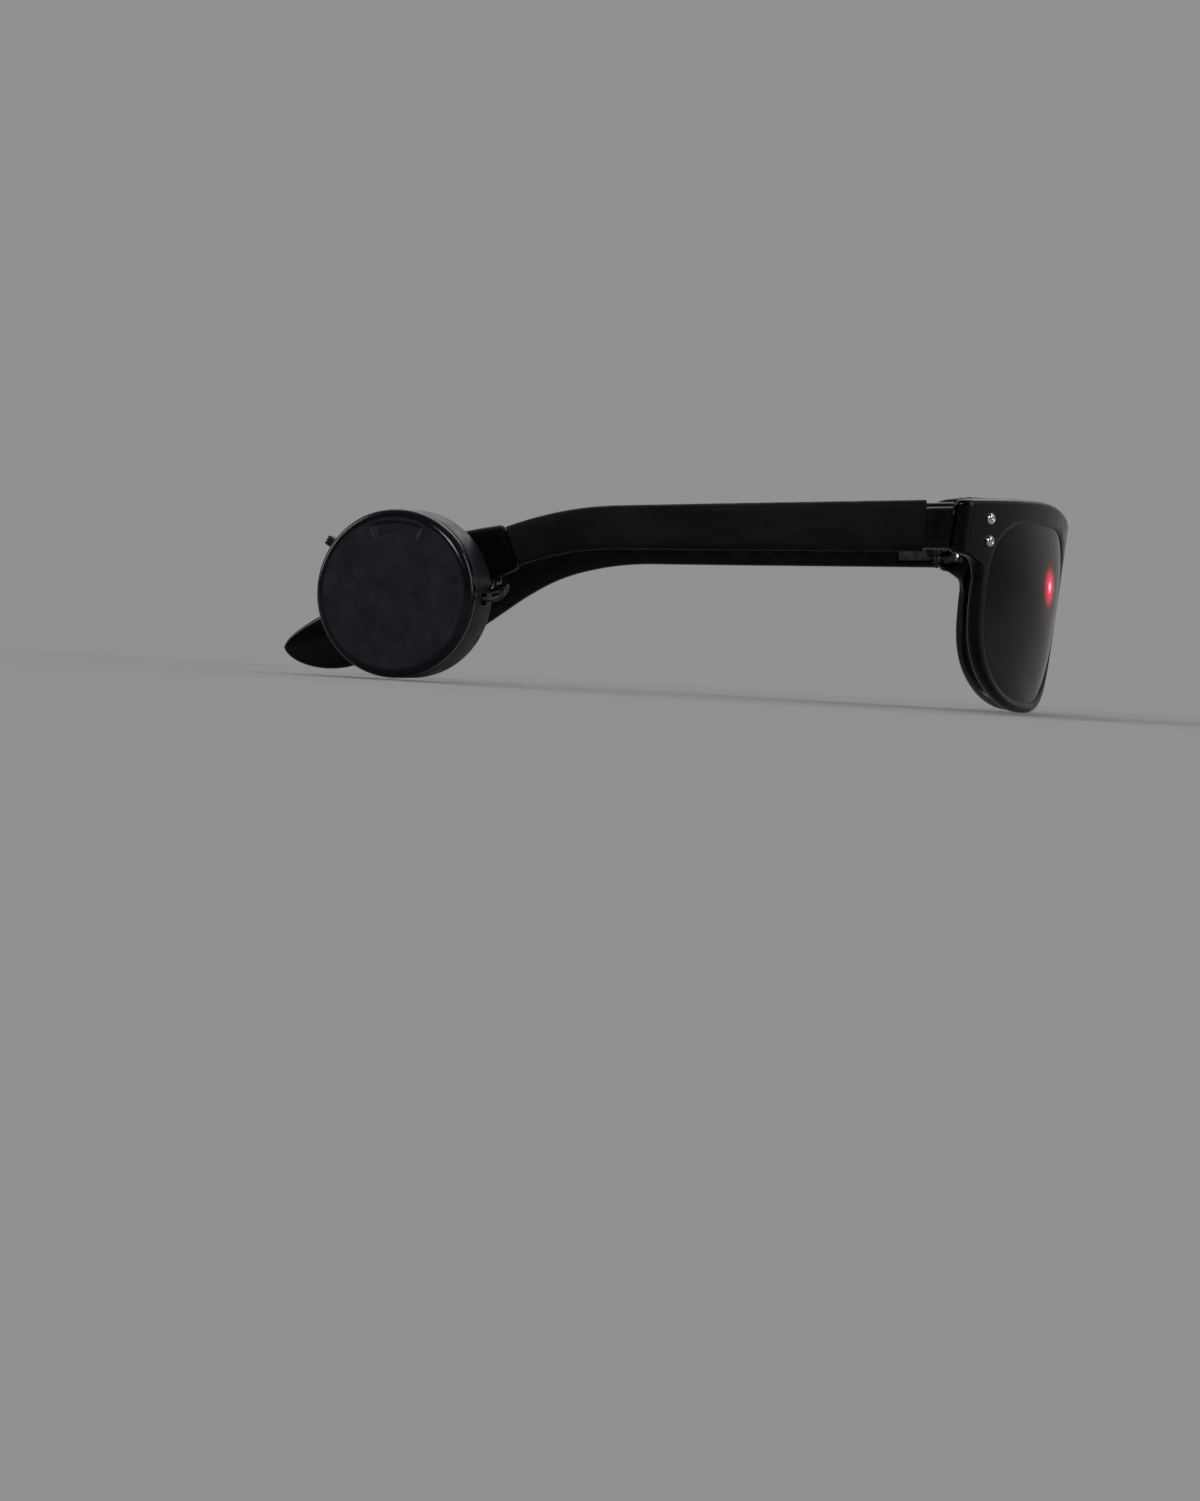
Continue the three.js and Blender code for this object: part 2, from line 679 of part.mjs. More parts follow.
function noseRest() {
  const nose = lensOutline(Math.PI, rimNose / 2);
  return new THREE.SphereGeometry(1, 12, 8)
    .scale(...restSize)
    .applyMatrix4(faceFrame(nose.x - rimNose, restLevel, frontThickness));
}

// Lamp: its tip faces the back of the lens
const lampTip = lensBackDepth(lampAcross, lampLevel) + 2 * seatGap;
const lampFrame = faceFrame(lampAcross, lampLevel, lampTip);
const legStart = lampLength + seatGap;

function lampGeometry() {
  const dome = [0, 15, 30, 45, 60, 75, 90].map((turn) => [
    lampRadius * Math.sin(radians(turn)), lampRadius * (1 - Math.cos(radians(turn))),
  ]);
  const [flangeRadius, flangeHeight] = lampFlange;
  const shoulder = lampLength - flangeHeight;
  const base = [
    [lampRadius, shoulder], [flangeRadius, shoulder], [flangeRadius, lampLength], [0, lampLength],
  ];
  return spun([...dome, ...base], 24).applyMatrix4(lampFrame);
}

function collarGeometry() {
  const inner = lampRadius + seatGap;
  const profile = [
    [inner, 0], [collarRadius, 0], [collarRadius, collarHeight * 0.5],
    [inner + 0.6, collarHeight], [inner, collarHeight], [inner, 0],
  ];
  return spun(profile, 24).applyMatrix4(lampFrame);
}

// Bent leg in the plane of up and depth
function legGeometry(side) {
  const half = legThickness / 2;
  const back = legStart + legBack;
  const outline = [
    [-half, legStart], [half, legStart], [half, back - legThickness],
    [legUp, back - legThickness], [legUp, back], [-half, back],
  ];
  const turn = new THREE.Matrix4().makeBasis(
    new THREE.Vector3(0, 1, 0), new THREE.Vector3(0, 0, 1), new THREE.Vector3(1, 0, 0),
  );
  return prism(outline, -half, half)
    .applyMatrix4(turn)
    .translate(side * legSpread, 0, 0)
    .applyMatrix4(lampFrame);
}

// Leads behind the front: from a leg's end up to the top rim and along it to the hinge
const leadDepth = frontThickness + seatGap + leadRadius;
const leadCrossing = rivetAcross + 1.3; // where the leads leave the front

function frontLeadPoints(side, level) {
  const legDepth = lampTip + legStart + legBack - legThickness / 2;
  const start = lampLevel + legUp + seatGap;
  const across = lampAcross + side * legSpread;
  const route = [
    [across, start, legDepth],
    [across + side * 0.3, start + 2, legDepth - 0.3],
    [across + 1.5, level - 3.2, leadDepth + 3],
    [across + 4.5, level - 0.6, leadDepth + 0.5],
    [lensCentre + 0.18 * lensWidth, level, leadDepth],
    [lensCentre + 0.36 * lensWidth, level - 0.3, leadDepth],
    [leadCrossing - 4, level - 0.8, leadDepth],
    [leadCrossing, level - 1.1, leadDepth],
  ];
  return route.map((place) => facePoint(...place));
}

// Leads over the hinge
function hingeLeadPoints(level, height) {
  const start = facePoint(leadCrossing + 0.3, level - 1.1, leadDepth);
  const end = armPoint(sleeveStart - seatGap, leadAcross(sleeveStart), height);
  const drop = start.z - end.z;
  return [
    start,
    new THREE.Vector3(hingeX + 0.8, hingeY - 1.9, start.z - 0.1 * drop),
    new THREE.Vector3(hingeX - 0.6, hingeY + 1, start.z - 0.25 * drop),
    new THREE.Vector3(end.x, hingeY + 3.4, start.z - 0.65 * drop),
    end,
  ];
}

// Battery case: its own frame has X toward the front, Y up and Z out of the lid
const caseSlope = armSlope(caseStation);
const caseOut = new THREE.Vector3(-Math.cos(caseSlope), Math.sin(caseSlope), 0);
const caseUp = new THREE.Vector3(0, 0, 1);
const caseAhead = new THREE.Vector3().crossVectors(caseUp, caseOut);
const padBack = armPoint(caseStation, -armWidth(caseStation) / 2, 0).addScaledVector(caseOut, seatGap);
const casePlace = padBack.clone().addScaledVector(caseOut, padSize[2] + seatGap);
casePlace.addScaledVector(caseUp, caseRise);
const caseFrame = new THREE.Matrix4().makeBasis(caseAhead, caseUp, caseOut).setPosition(casePlace);
const roomRadius = caseRadius - caseWall;
const resistorRing = roomRadius - resistorInset;
const skirtOuter = roomRadius - runGap;
const lidBase = caseBodyHeight + lidGap;
const lugTop = lidBase - skirtDepth + lugHeight;
const switchReach = (switchSize[0] + knobTravel) / 2;
const switchRing = Math.sqrt((roomRadius - seatGap) ** 2 - switchReach ** 2) - switchSize[1];
const switchLevel = caseFloor + switchFloorGap + switchSize[2] / 2;
const leadSlot = [2 * leadRadius + 5 * seatGap, leadPitch + 2 * leadRadius + 2 * seatGap];

function turnTo(geometry, angle) {
  return geometry.rotateZ(angle);
}

function caseBodyGeometry() {
  const cup = spun([
    [0, 0], [caseRadius - caseEdge, 0], [caseRadius - 0.3 * caseEdge, 0.3 * caseEdge], [caseRadius, caseEdge],
    [caseRadius, caseBodyHeight], [roomRadius, caseBodyHeight], [roomRadius, caseFloor], [0, caseFloor],
  ], caseSides);
  const reach = caseRadius * 0.5;
  const margin = radians(3);
  const grooveFloor = lidBase - skirtDepth - runGap;
  const grooveRing = skirtOuter + lugReach + runGap;
  const cuts = [];
  for (let i = 0; i < lugCount; i += 1) {
    const start = (2 * Math.PI * i) / lugCount - lugSpan / 2;
    const open = start + lidTurn;
    const run = [start - margin, open + lugSpan + margin];
    cuts.push(ringSlice(reach, grooveRing, ...run, grooveFloor, lugTop + runGap));
    const mouth = [open - margin, open + lugSpan + margin];
    cuts.push(ringSlice(reach, grooveRing, ...mouth, grooveFloor, 2 * caseBodyHeight));
  }
  const knobSlot = [(knobSize[0] + knobTravel) / 2 + runGap, knobSize[2] / 2 + runGap];
  cuts.push(turnTo(block(
    [roomRadius - caseWall, -knobSlot[0] + knobTravel / 2, switchLevel - knobSlot[1]],
    [caseRadius + caseWall, knobSlot[0] + knobTravel / 2, switchLevel + knobSlot[1]],
  ), switchAngle));
  cuts.push(turnTo(block(
    [roomRadius - caseWall, -leadSlot[0] / 2, innerLevel - leadSlot[1] / 2],
    [caseRadius + caseWall, leadSlot[0] / 2, innerLevel + leadSlot[1] / 2],
  ), leadHoleAngle));
  return cut(cup, ...cuts);
}

function lidGeometry() {
  const top = lidBase + lidHeight;
  const skirtInner = skirtOuter - skirtWall;
  const edge = [0, 22.5, 45, 67.5, 90].map((turn) => [
    caseRadius - lidEdge * (1 - Math.cos(radians(turn))), top - lidEdge * (1 - Math.sin(radians(turn))),
  ]);
  const disc = spun([
    [0, lidBase], [skirtInner, lidBase], [skirtInner, lidBase - skirtDepth],
    [skirtOuter, lidBase - skirtDepth], [skirtOuter, lidBase], [caseRadius, lidBase],
    ...edge, [0, top],
  ], caseSides);
  const lugs = Array.from({ length: lugCount }, (_, i) => {
    const start = (2 * Math.PI * i) / lugCount - lugSpan / 2;
    const inner = skirtOuter - skirtWall / 2;
    return ringSlice(inner, skirtOuter + lugReach, start, start + lugSpan, lidBase - skirtDepth, lugTop);
  });
  const recess = ringSlice(...recessRing, ...recessSpan, top - recessDepth, top + recessDepth);
  return cut(join(disc, ...lugs), recess);
}

// Coin cells stand off the floor on the spring, shifted away from the switch
const cellPlace = [-cellShift * Math.cos(switchAngle), -cellShift * Math.sin(switchAngle)];
const contactRing = cellShift * Math.cos(switchAngle + Math.PI - contactAngle) + cellRadius + seatGap;
const cellBottom = caseFloor + seatGap + stripThickness + springRise + seatGap;

function cellGeometry(bottom) {
  return spun([
    [0, 0], [cellCapRadius, 0], [cellCapRadius, cellStep], [cellRadius - cellStep, cellStep],
    [cellRadius, 2 * cellStep], [cellRadius, cellHeight], [0, cellHeight],
  ], 28).translate(...cellPlace, bottom);
}

// Strip bent along its length: points are distance and height of its lower face
function strip(points, width, thickness) {
  const upper = points.map(([along, height]) => [along, height + thickness]).reverse();
  return prism([...points, ...upper], -width / 2, width / 2).rotateX(rightAngle);
}

function springGeometry() {
  const floor = caseFloor + seatGap;
  const reach = switchRing - cellShift;
  const bow = [[-6, 0], [-3, springRise], [1, springRise], [4, 0]];
  const tab = [[reach + 1.2, 0]];
  const points = [...bow, ...tab].map(([along, rise]) => [along, floor + rise]);
  return strip(points, springWidth, stripThickness)
    .rotateZ(switchAngle + radians(34))
    .translate(...cellPlace, 0);
}

function contactGeometry() {
  const floor = caseFloor + seatGap;
  const foot = block(
    [contactRing, -contactWidth / 2, floor],
    [roomRadius - 1, contactWidth / 2, floor + stripThickness],
  );
  const wall = block(
    [contactRing, -contactWidth / 2, floor],
    [contactRing + stripThickness, contactWidth / 2, lidBase - skirtDepth - seatGap],
  );
  return turnTo(join(foot, wall), contactAngle);
}

function switchGeometry() {
  const [along, radial, deep] = switchSize;
  const body = block(
    [switchRing, (knobTravel - along) / 2, switchLevel - deep / 2],
    [switchRing + radial, (knobTravel + along) / 2, switchLevel + deep / 2],
  );
  const half = [(knobSize[0] + knobTravel) / 2 + runGap, knobSize[2] / 2 + runGap];
  const slot = block(
    [switchRing + radial - stemDepth - runGap, knobTravel / 2 - half[0], switchLevel - half[1]],
    [switchRing + 2 * radial, knobTravel / 2 + half[0], switchLevel + half[1]],
  );
  return turnTo(cut(body, slot), switchAngle);
}

function knobGeometry() {
  const [along, out, deep] = knobSize;
  const start = switchRing + switchSize[1] - stemDepth;
  const end = caseRadius + out;
  const round = along * 0.3;
  const outline = [
    [start, -along / 2], [end - round, -along / 2], [end, -along / 2 + round],
    [end, along / 2 - round], [end - round, along / 2], [start, along / 2],
  ];
  return turnTo(prism(outline, switchLevel - deep / 2, switchLevel + deep / 2), switchAngle);
}

function resistorGeometry() {
  const half = resistorLength / 2;
  const end = resistorLegs / 2;
  const profile = [
    [0, -end], [resistorLegRadius, -end], [resistorLegRadius, -half], [resistorRadius, -half + 0.4],
    [resistorRadius, -half + 1.4], [resistorRadius * 0.8, -half + 1.9], [resistorRadius * 0.8, half - 1.9],
    [resistorRadius, half - 1.4], [resistorRadius, half - 0.4], [resistorLegRadius, half],
    [resistorLegRadius, end], [0, end],
  ];
  return spun(profile, 14)
    .rotateX(-rightAngle)
    .translate(resistorRing, 0, innerLevel)
    .rotateZ(resistorAngle);
}

function padGeometry() {
  const [along, across, thick] = padSize;
  return block([-along / 2, -across / 2, -seatGap - thick], [along / 2, across / 2, -seatGap])
    .rotateZ(armPitch(caseStation));
}

// Leads from the sleeve's front end along the arm, out under the rear band and into the case
function casePoint(x, y, z) {
  return new THREE.Vector3(x, y, z).applyMatrix4(caseFrame);
}

function ringPoint(ring, angle, level) {
  return casePoint(ring * Math.cos(angle), ring * Math.sin(angle), level);
}

function armLeadPoints(height) {
  const stations = stationsBetween(sleeveStart, sleeveEnd - 3, 16);
  return stations.map((station) => armPoint(station, leadAcross(station), height));
}

function exitPoints(shift) {
  const out = sleeveEnd + seatGap + bandNotch[0] + shift;
  const across = leadAcross(out);
  const under = armHeight(out) / 2 + sleeveGap + bandWall + seatGap + leadRadius;
  return [
    armPoint(out - 3, across, -0.5),
    armPoint(out - 0.4, across, -2.8),
    armPoint(out + 0.7, across - 0.3, -under + 0.9),
    armPoint(out + 1.3, across - 1.8, -under - 0.3),
    armPoint(out + 1.6, -armWaist / 2, -under - 0.8),
  ];
}

function positiveLeadPoints() {
  const level = innerLevel + leadPitch / 2;
  const contactEdge = contactAngle + Math.atan2(contactWidth / 2, contactRing);
  return [
    ...armLeadPoints(leadHeights[0]),
    ...exitPoints(0.7),
    casePoint(caseRadius + 3.6, 1.4, 1.6),
    casePoint(caseRadius + 3.8, -0.4, 4.4),
    ringPoint(caseRadius + 1.8, leadHoleAngle, level),
    ringPoint(roomRadius, leadHoleAngle, level),
    ringPoint(roomRadius - 0.9, leadHoleAngle - radians(3), level),
    ringPoint(roomRadius - 1.5, leadHoleAngle - radians(8), level),
    ringPoint(contactRing + stripThickness / 2, contactEdge + radians(2), level),
  ];
}

function negativeLeadPoints() {
  const level = innerLevel - leadPitch / 2;
  const legEnd = resistorAngle - Math.atan2(resistorLegs / 2, resistorRing);
  const legRing = Math.hypot(resistorRing, resistorLegs / 2);
  const ring = roomRadius - 1.6;
  return [
    ...armLeadPoints(leadHeights[1]),
    ...exitPoints(2.7),
    casePoint(caseRadius + 2.2, 0.6, 1),
    casePoint(caseRadius + 2.5, -0.9, 3.2),
    ringPoint(caseRadius + 1.5, leadHoleAngle, level),
    ringPoint(roomRadius, leadHoleAngle, level),
    ringPoint(roomRadius - 1, leadHoleAngle + radians(3), level),
    ringPoint(ring, leadHoleAngle + radians(10), level),
    ringPoint(ring, leadHoleAngle + radians(30), level),
    ringPoint(ring, legEnd - radians(14), innerLevel - 0.2),
    ringPoint(legRing, legEnd - radians(2.5), innerLevel),
  ];
}

// Band with the notch on its inner lower edge where the leads come out
function bandGeometry() {
  const start = sleeveEnd + seatGap;
  const hollow = sleeveGeometry(start, start + bandLength, bandWall, 3.5, bandFlare);
  const from = start + bandNotch[0];
  const reach = armHeights[0][1];
  const corners = [[0, -reach], [reach, -reach], [reach, -2 * bandWall], [0, -2 * bandWall]];
  const ringAt = (station) => corners.map(([across, up]) => armPoint(station, across, up));
  const tool = skin([ringAt(from), ringAt(from + bandNotch[1] / 2), ringAt(from + bandNotch[1])], false);
  return cut(hollow, tool);
}

// Assembly
const worn = new THREE.Group();

function add(name, geometry, finish) {
  const mesh = new THREE.Mesh(closed(geometry), new THREE.MeshStandardMaterial(finish));
  mesh.name = name;
  worn.add(mesh);
}

function addToCase(name, geometry, finish) {
  add(name, geometry.applyMatrix4(caseFrame), finish);
}

function addPair(name, ending, geometry, finish) {
  add(`${name}_right${ending}`, geometry, finish);
  add(`${name}_left${ending}`, mirrored(geometry), finish);
}

const half = frontHalf();
const rest = noseRest();
const rightHoles = rivetPlaces().map(rivetHole);
const leftHoles = rightHoles.map((hole) => mirrored(hole));
const front = cut(join(half, mirrored(half), rest, mirrored(rest)), ...rightHoles, ...leftHoles);
add('front_frame', front, glossBlack);
addPair('lens', '', lensGeometry(), tintedLens);
rivetPlaces().forEach((place, i) => addPair('rivet', ['_upper', '_lower'][i], rivetGeometry(place), steel));
addPair('hinge_front_leaf', '', frontLeafGeometry(), steel);
addPair('hinge_temple_leaf', '', templeLeafGeometry(), steel);
addPair('hinge_screw', '', pinGeometry(), steel);
addPair('temple_arm', '', cut(armGeometry(), leafPocket()), glossBlack);

add('led_lamp', lampGeometry(), redLamp);
add('led_collar', collarGeometry(), clearGlue);
add('led_anode_leg', legGeometry(1), steel);
add('led_cathode_leg', legGeometry(-1), steel);

const leadLevels = [-3.45, -2.1]; // positive and negative
['positive', 'negative'].forEach((name, i) => {
  const jacket = [redJacket, wireJacket][i];
  add(`front_lead_${name}`, wire(frontLeadPoints([1, -1][i], leadLevels[i]), leadRadius), jacket);
  add(`hinge_lead_${name}`, wire(hingeLeadPoints(leadLevels[i], leadHeights[i]), leadRadius), jacket);
});
add('temple_lead_positive', wire(positiveLeadPoints(), leadRadius), redJacket);
add('temple_lead_negative', wire(negativeLeadPoints(), leadRadius), wireJacket);

add('temple_sleeve', sleeveGeometry(sleeveStart, sleeveEnd, sleeveWall, 8, 0), matteSleeve);
add('rear_band', bandGeometry(), matteSleeve);

addToCase('case_pad', padGeometry(), foam);
addToCase('case_body', caseBodyGeometry(), satinCase);
addToCase('case_lid', lidGeometry(), satinCase);
addToCase('cell_lower', cellGeometry(cellBottom), nickel);
addToCase('cell_upper', cellGeometry(cellBottom + cellHeight + cellGap), nickel);
addToCase('negative_spring', springGeometry(), nickel);
addToCase('positive_contact', contactGeometry(), nickel);
addToCase('switch_housing', switchGeometry(), satinCase);
addToCase('switch_knob', knobGeometry(), satinCase);
addToCase('series_resistor', resistorGeometry(), resistorTan);

// Set down on a table: the rims in front and the case or the tips behind rest at the same height
function setDown(group) {
  const points = group.children.flatMap((mesh) => {
    const { position } = mesh.geometry.attributes;
    const corner = (i) => new THREE.Vector3().fromBufferAttribute(position, i);
    return Array.from({ length: position.count }, (_, i) => corner(i));
  });
  const lowest = (some, pitch) => some.reduce((best, point) => {
    const height = (p) => p.y * Math.sin(pitch) + p.z * Math.cos(pitch);
    return height(point) < height(best) ? point : best;
  });
  const middle = (armY + armLength) / 2;
  const ahead = points.filter((point) => point.y < middle);
  const behind = points.filter((point) => point.y >= middle);
  let pitch = 0;
  for (let i = 0; i < 6; i += 1) {
    const [near, far] = [lowest(ahead, pitch), lowest(behind, pitch)];
    pitch = -Math.atan2(far.z - near.z, far.y - near.y);
  }
  group.rotation.x = pitch;
  const box = new THREE.Box3().setFromObject(group, true);
  const centre = box.getCenter(new THREE.Vector3());
  group.position.set(-centre.x, -centre.y, -box.min.z);
}

setDown(worn);
const sunglasses = new THREE.Group();
sunglasses.add(worn);

export default sunglasses;
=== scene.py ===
import json
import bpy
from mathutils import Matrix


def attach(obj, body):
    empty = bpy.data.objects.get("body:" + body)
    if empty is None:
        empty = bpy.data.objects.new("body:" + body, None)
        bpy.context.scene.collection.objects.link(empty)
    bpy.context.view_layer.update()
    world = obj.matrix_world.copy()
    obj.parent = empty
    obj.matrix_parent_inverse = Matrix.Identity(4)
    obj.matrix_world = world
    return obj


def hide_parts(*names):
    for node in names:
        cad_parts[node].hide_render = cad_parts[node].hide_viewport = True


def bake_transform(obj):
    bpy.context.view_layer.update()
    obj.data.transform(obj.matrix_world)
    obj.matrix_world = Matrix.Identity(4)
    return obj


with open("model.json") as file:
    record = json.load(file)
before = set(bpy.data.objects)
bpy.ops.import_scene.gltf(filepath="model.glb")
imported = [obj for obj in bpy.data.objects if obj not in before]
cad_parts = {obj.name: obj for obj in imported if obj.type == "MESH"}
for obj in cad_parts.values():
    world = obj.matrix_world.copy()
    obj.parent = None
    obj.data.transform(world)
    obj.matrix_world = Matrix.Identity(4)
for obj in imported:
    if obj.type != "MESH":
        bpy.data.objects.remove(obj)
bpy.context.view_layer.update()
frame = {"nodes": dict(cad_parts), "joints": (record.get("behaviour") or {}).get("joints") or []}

from types import SimpleNamespace

import bmesh
import bpy
import numpy as np
from bpy.props import FloatProperty, FloatVectorProperty, PointerProperty
from mathutils import Matrix, Vector

bl_info = {
    "name": "Light-up novelty sunglasses",
    "version": (1, 0, 0),
    "blender": (4, 5, 0),
    "location": "3D View > Sidebar > Sunglasses",
    "description": "Dresses the fixed frame of a pair of light-up novelty sunglasses",
    "category": "Object",
}

QUARTER = np.pi / 2


# Small lengths in metres

SAME_PLACE, NO_LENGTH = 3e-7, 1e-7
FLOOR_DROP = 0.0004


# Sizes and colours that a user would change

def length(name, description, millimetres):
    """A length in metres, given in millimetres."""
    return FloatProperty(name=name, description=description, default=millimetres / 1000,
                         subtype="DISTANCE", unit="LENGTH", precision=5)


def angle(name, description, degrees):
    """An angle, given in degrees."""
    return FloatProperty(name=name, description=description, default=np.radians(degrees),
                         subtype="ANGLE", unit="ROTATION")


def share(name, description, value):
    """A plain number."""
    return FloatProperty(name=name, description=description, default=value, subtype="FACTOR", min=0, max=10)


def colour(name, description, value):
    """A linear colour."""
    return FloatVectorProperty(name=name, description=description, default=value,
                               subtype="COLOR", size=3, min=0, max=1)


class FrontSizes(bpy.types.PropertyGroup):
    """Sizes of the front frame and its lenses."""
    wrap_radius: length("Wrap radius", "Plan radius of the front face", 116)
    front_tilt: angle("Tilt", "Lean of the front, with the lower rim set back", 7.6)
    front_thickness: length("Thickness", "Depth at the brow, the bridge and the end pieces", 4)
    rim_thickness: length("Rim thickness", "Depth round the lower part of the lenses", 3)
    edge_round: length("Edge rounding", "Rounding along the front of the outline", 1.2)
    back_round: length("Back rounding", "Rounding along the back of the outline", 1.6)
    lens_bevel: length("Lens bevel", "Width of the bevel round each lens opening", 1.1)
    bridge_width: length("Bridge width", "Between the lens openings", 19)
    bridge_height: length("Bridge height", "Height of the bridge at its middle", 10.5)
    rim_above: length("Upper rim", "Rim above a lens", 5.4)
    rim_below: length("Lower rim", "Rim below a lens", 2.2)
    rim_outside: length("Outer rim", "Rim at the outer side of a lens", 3.7)
    rim_nose: length("Nose rim", "Rim at the nose side of a lens", 2.1)
    end_reach: length("End reach", "Lens opening to the corner of the end piece", 8)
    end_height: length("End height", "Height of the end piece", 10.8)
    lens_width: length("Lens width", "Width of a lens opening", 55)
    lens_height: length("Lens height", "Height of a lens opening", 37.3)
    lens_power: share("Upper squareness", "Power of the upper half of a lens outline", 3.1)
    lens_power_below: share("Lower squareness", "Power of the lower half of a lens outline", 2.7)
    lens_taper: share("Lens taper", "Narrowing of a lens from its top to its bottom", 0.12)
    lens_lean: length("Lens lean", "Shift of the lowest point of a lens toward the nose", 2)
    lens_bulge: length("Lens bulge", "Rise of a lens in front of its rim", 2.6)


class TempleSizes(bpy.types.PropertyGroup):
    """Sizes of the temple arms, the sleeve and the rear band."""
    arm_length: length("Arm length", "Along the middle line of an arm", 143.8)
    arm_thickness: length("Arm thickness", "Thickness at the joint", 4.2)
    arm_waist: length("Arm waist", "Thickness behind the bend", 3.4)
    arm_corner: length("Arm rounding", "Rounding of the section of an arm", 1.3)
    bend_angle: angle("Bend", "Downward bend behind the ear", 31)
    convergence: angle("Convergence", "Inward slant of an arm", 3)
    sleeve_start: length("Sleeve start", "From the front end of the arm", 5.2)
    sleeve_end: length("Sleeve end", "From the front end of the arm", 89.7)
    sleeve_wall: length("Sleeve wall", "Thickness of the sleeve", 0.35)
    band_length: length("Band length", "Length of the rear band", 10.4)
    band_wall: length("Band wall", "Thickness of the rear band", 0.9)
    band_flare: length("Band flare", "Growth of the height of the band to its rear end", 2.1)
    lead_radius: length("Lead radius", "Radius of a lead over its jacket", 0.5)


class CaseSizes(bpy.types.PropertyGroup):
    """Sizes of the battery case and the lamp."""
    case_station: length("Case station", "Place of the case along the arm", 111.9)
    case_radius: length("Case radius", "Outside of the battery case", 17.2)
    case_wall: length("Case wall", "Thickness of the wall of the case", 2)
    case_depth: length("Case depth", "Height of the body of the case", 9.2)
    lid_height: length("Lid height", "Height of the lid above the body", 2.6)
    lid_edge: length("Lid edge", "Rounding of the rim of the lid", 1.7)
    recess_depth: length("Recess depth", "Depth of the finger recess in the lid", 0.6)
    lamp_radius: length("Lamp radius", "Radius of the lamp", 2.5)
    lamp_length: length("Lamp length", "Length of the lamp with its flange", 8.6)
    collar_radius: length("Collar radius", "Radius of the glue round the lamp", 4.6)
    collar_height: length("Collar height", "Height of the glue round the lamp", 3.2)


class Finishes(bpy.types.PropertyGroup):
    """Colours of the finishes."""
    frame_black: colour("Frame", "Moulded front and arms", (0.0014, 0.0013, 0.0017))
    lens_tint: colour("Lens", "Tint of the lenses", (0.0030, 0.0028, 0.0038))
    sleeve_black: colour("Sleeve", "Matte sleeve on the right arm", (0.0072, 0.0070, 0.0085))
    band_black: colour("Band", "Rear band", (0.0008, 0.0008, 0.0009))
    case_grey: colour("Case", "Body of the battery case", (0.0070, 0.0080, 0.0112))
    lid_grey: colour("Lid", "Lid of the battery case", (0.0100, 0.0114, 0.0160))
    rivet_steel: colour("Rivets", "Polished rivets", (0.74, 0.74, 0.75))
    hinge_steel: colour("Hinges", "Darkened steel of the leaves and screws", (0.055, 0.055, 0.06))
    lamp_red: colour("Lamp", "Lamp and its glow", (1.0, 0.03, 0.08))
    jacket_red: colour("Positive lead", "Jacket of the positive lead", (0.006, 0.0012, 0.0012))
    jacket_black: colour("Negative lead", "Jacket of the negative lead", (0.003, 0.003, 0.0033))
    glue: colour("Glue", "Glue round the lamp", (0.62, 0.60, 0.54))
    foam: colour("Foam", "Pad under the case", (0.012, 0.012, 0.013))
    nickel: colour("Nickel", "Cells and contacts", (0.56, 0.54, 0.50))
    resistor: colour("Resistor", "Body of the resistor", (0.45, 0.30, 0.16))
    backdrop: colour("Floor", "Floor and backdrop", (0.285, 0.282, 0.277))


GROUPS = {
    "sunglasses_front": FrontSizes,
    "sunglasses_temples": TempleSizes,
    "sunglasses_case": CaseSizes,
    "sunglasses_finishes": Finishes,
}


# Sizes that stay the same, in millimetres

SEAT_GAP = 0.3
RUN_GAP = 0.3
SETBACK = -1.0
BROW_TOP, BRIDGE_TOP = -0.8, -3.2
END_TOP, END_CORNER, END_RETURN, END_SHOULDER = -3.8, 3.0, 1.4, 4.0
RIM_THINNING, RIM_BLEND = (-13.0, -19.0), 4
REST_SIZE, REST_LEVEL, REST_INSET, REST_SPAN = (1.6, 6.2, 3.2), -25.0, -0.4, (-36.0, -16.0)
LENS_THICKNESS, LENS_SEAT, LIP, BEVEL_DEPTH, BACK_LIP = 1.3, 0.9, 0.45, 0.38, 0.3
ARM_PLACES, ARM_HEIGHTS = (0, 45, 90, 128), (9.4, 8.4, 7.2, 12.6)
BEND, LIFT_START = (67.4, 103.4), 119.4
TIP_TAPER, TIP_FULLNESS = 14.0, (1.6, 0.75)
TIP_EDGE, TIP_BLUNTNESS, TIP_THINNING, TIP_CROWN = 0.06, 0.2, 0.34, 0.5
ARM_START, ARM_EASE, ARM_CROWN, POCKET_EASE = -0.25, 0.2, 0.05, 0.3
CURL_START, CURL_RADIUS = 56.4, 235.0
HINGE_INSET, HINGE_BEHIND = 2.2, 0.4
BARREL, PIN, PIN_HEAD, SLIT = 1.6, 0.6, (1.2, 0.8), (0.15, 0.3)
MIDDLE_BARREL, OUTER_BARREL = 2.4, 1.6
LEAF_THICKNESS, LEAF_SIZE, TEMPLE_LEAF, LEAF_EASE, WEB = 1.0, (6.4, 7.0), (8.4, 5.0), 0.25, 1.3
RIVET_LEVEL, RIVET_LEAN, RIVET_SPACING, RIVET_FROM_CORNER = -8.9, 0.4, 4.5, 6.9
RIVET, RIVET_HEAD = 0.85, (1.22, 0.75)
LAMP_ACROSS, LAMP_LEVEL, LAMP_FLANGE, FLANGE_FLAT = 33.9, -18.0, (2.9, 1.0), 0.88
GLUE_WAVE = 0.05
LEG_SPREAD, LEG_BACK, LEG_UP, LEG = 1.27, 2.2, 5.6, 0.5
LEAD_HEIGHTS, LEAD_LEVELS = (1.1, 2.7), (-3.45, -2.1)
SLEEVE_GAP, SLEEVE_STEP, SLEEVE_LIP, SLEEVE_RIPPLE = 0.2, 0.5, 0.3, 0.025
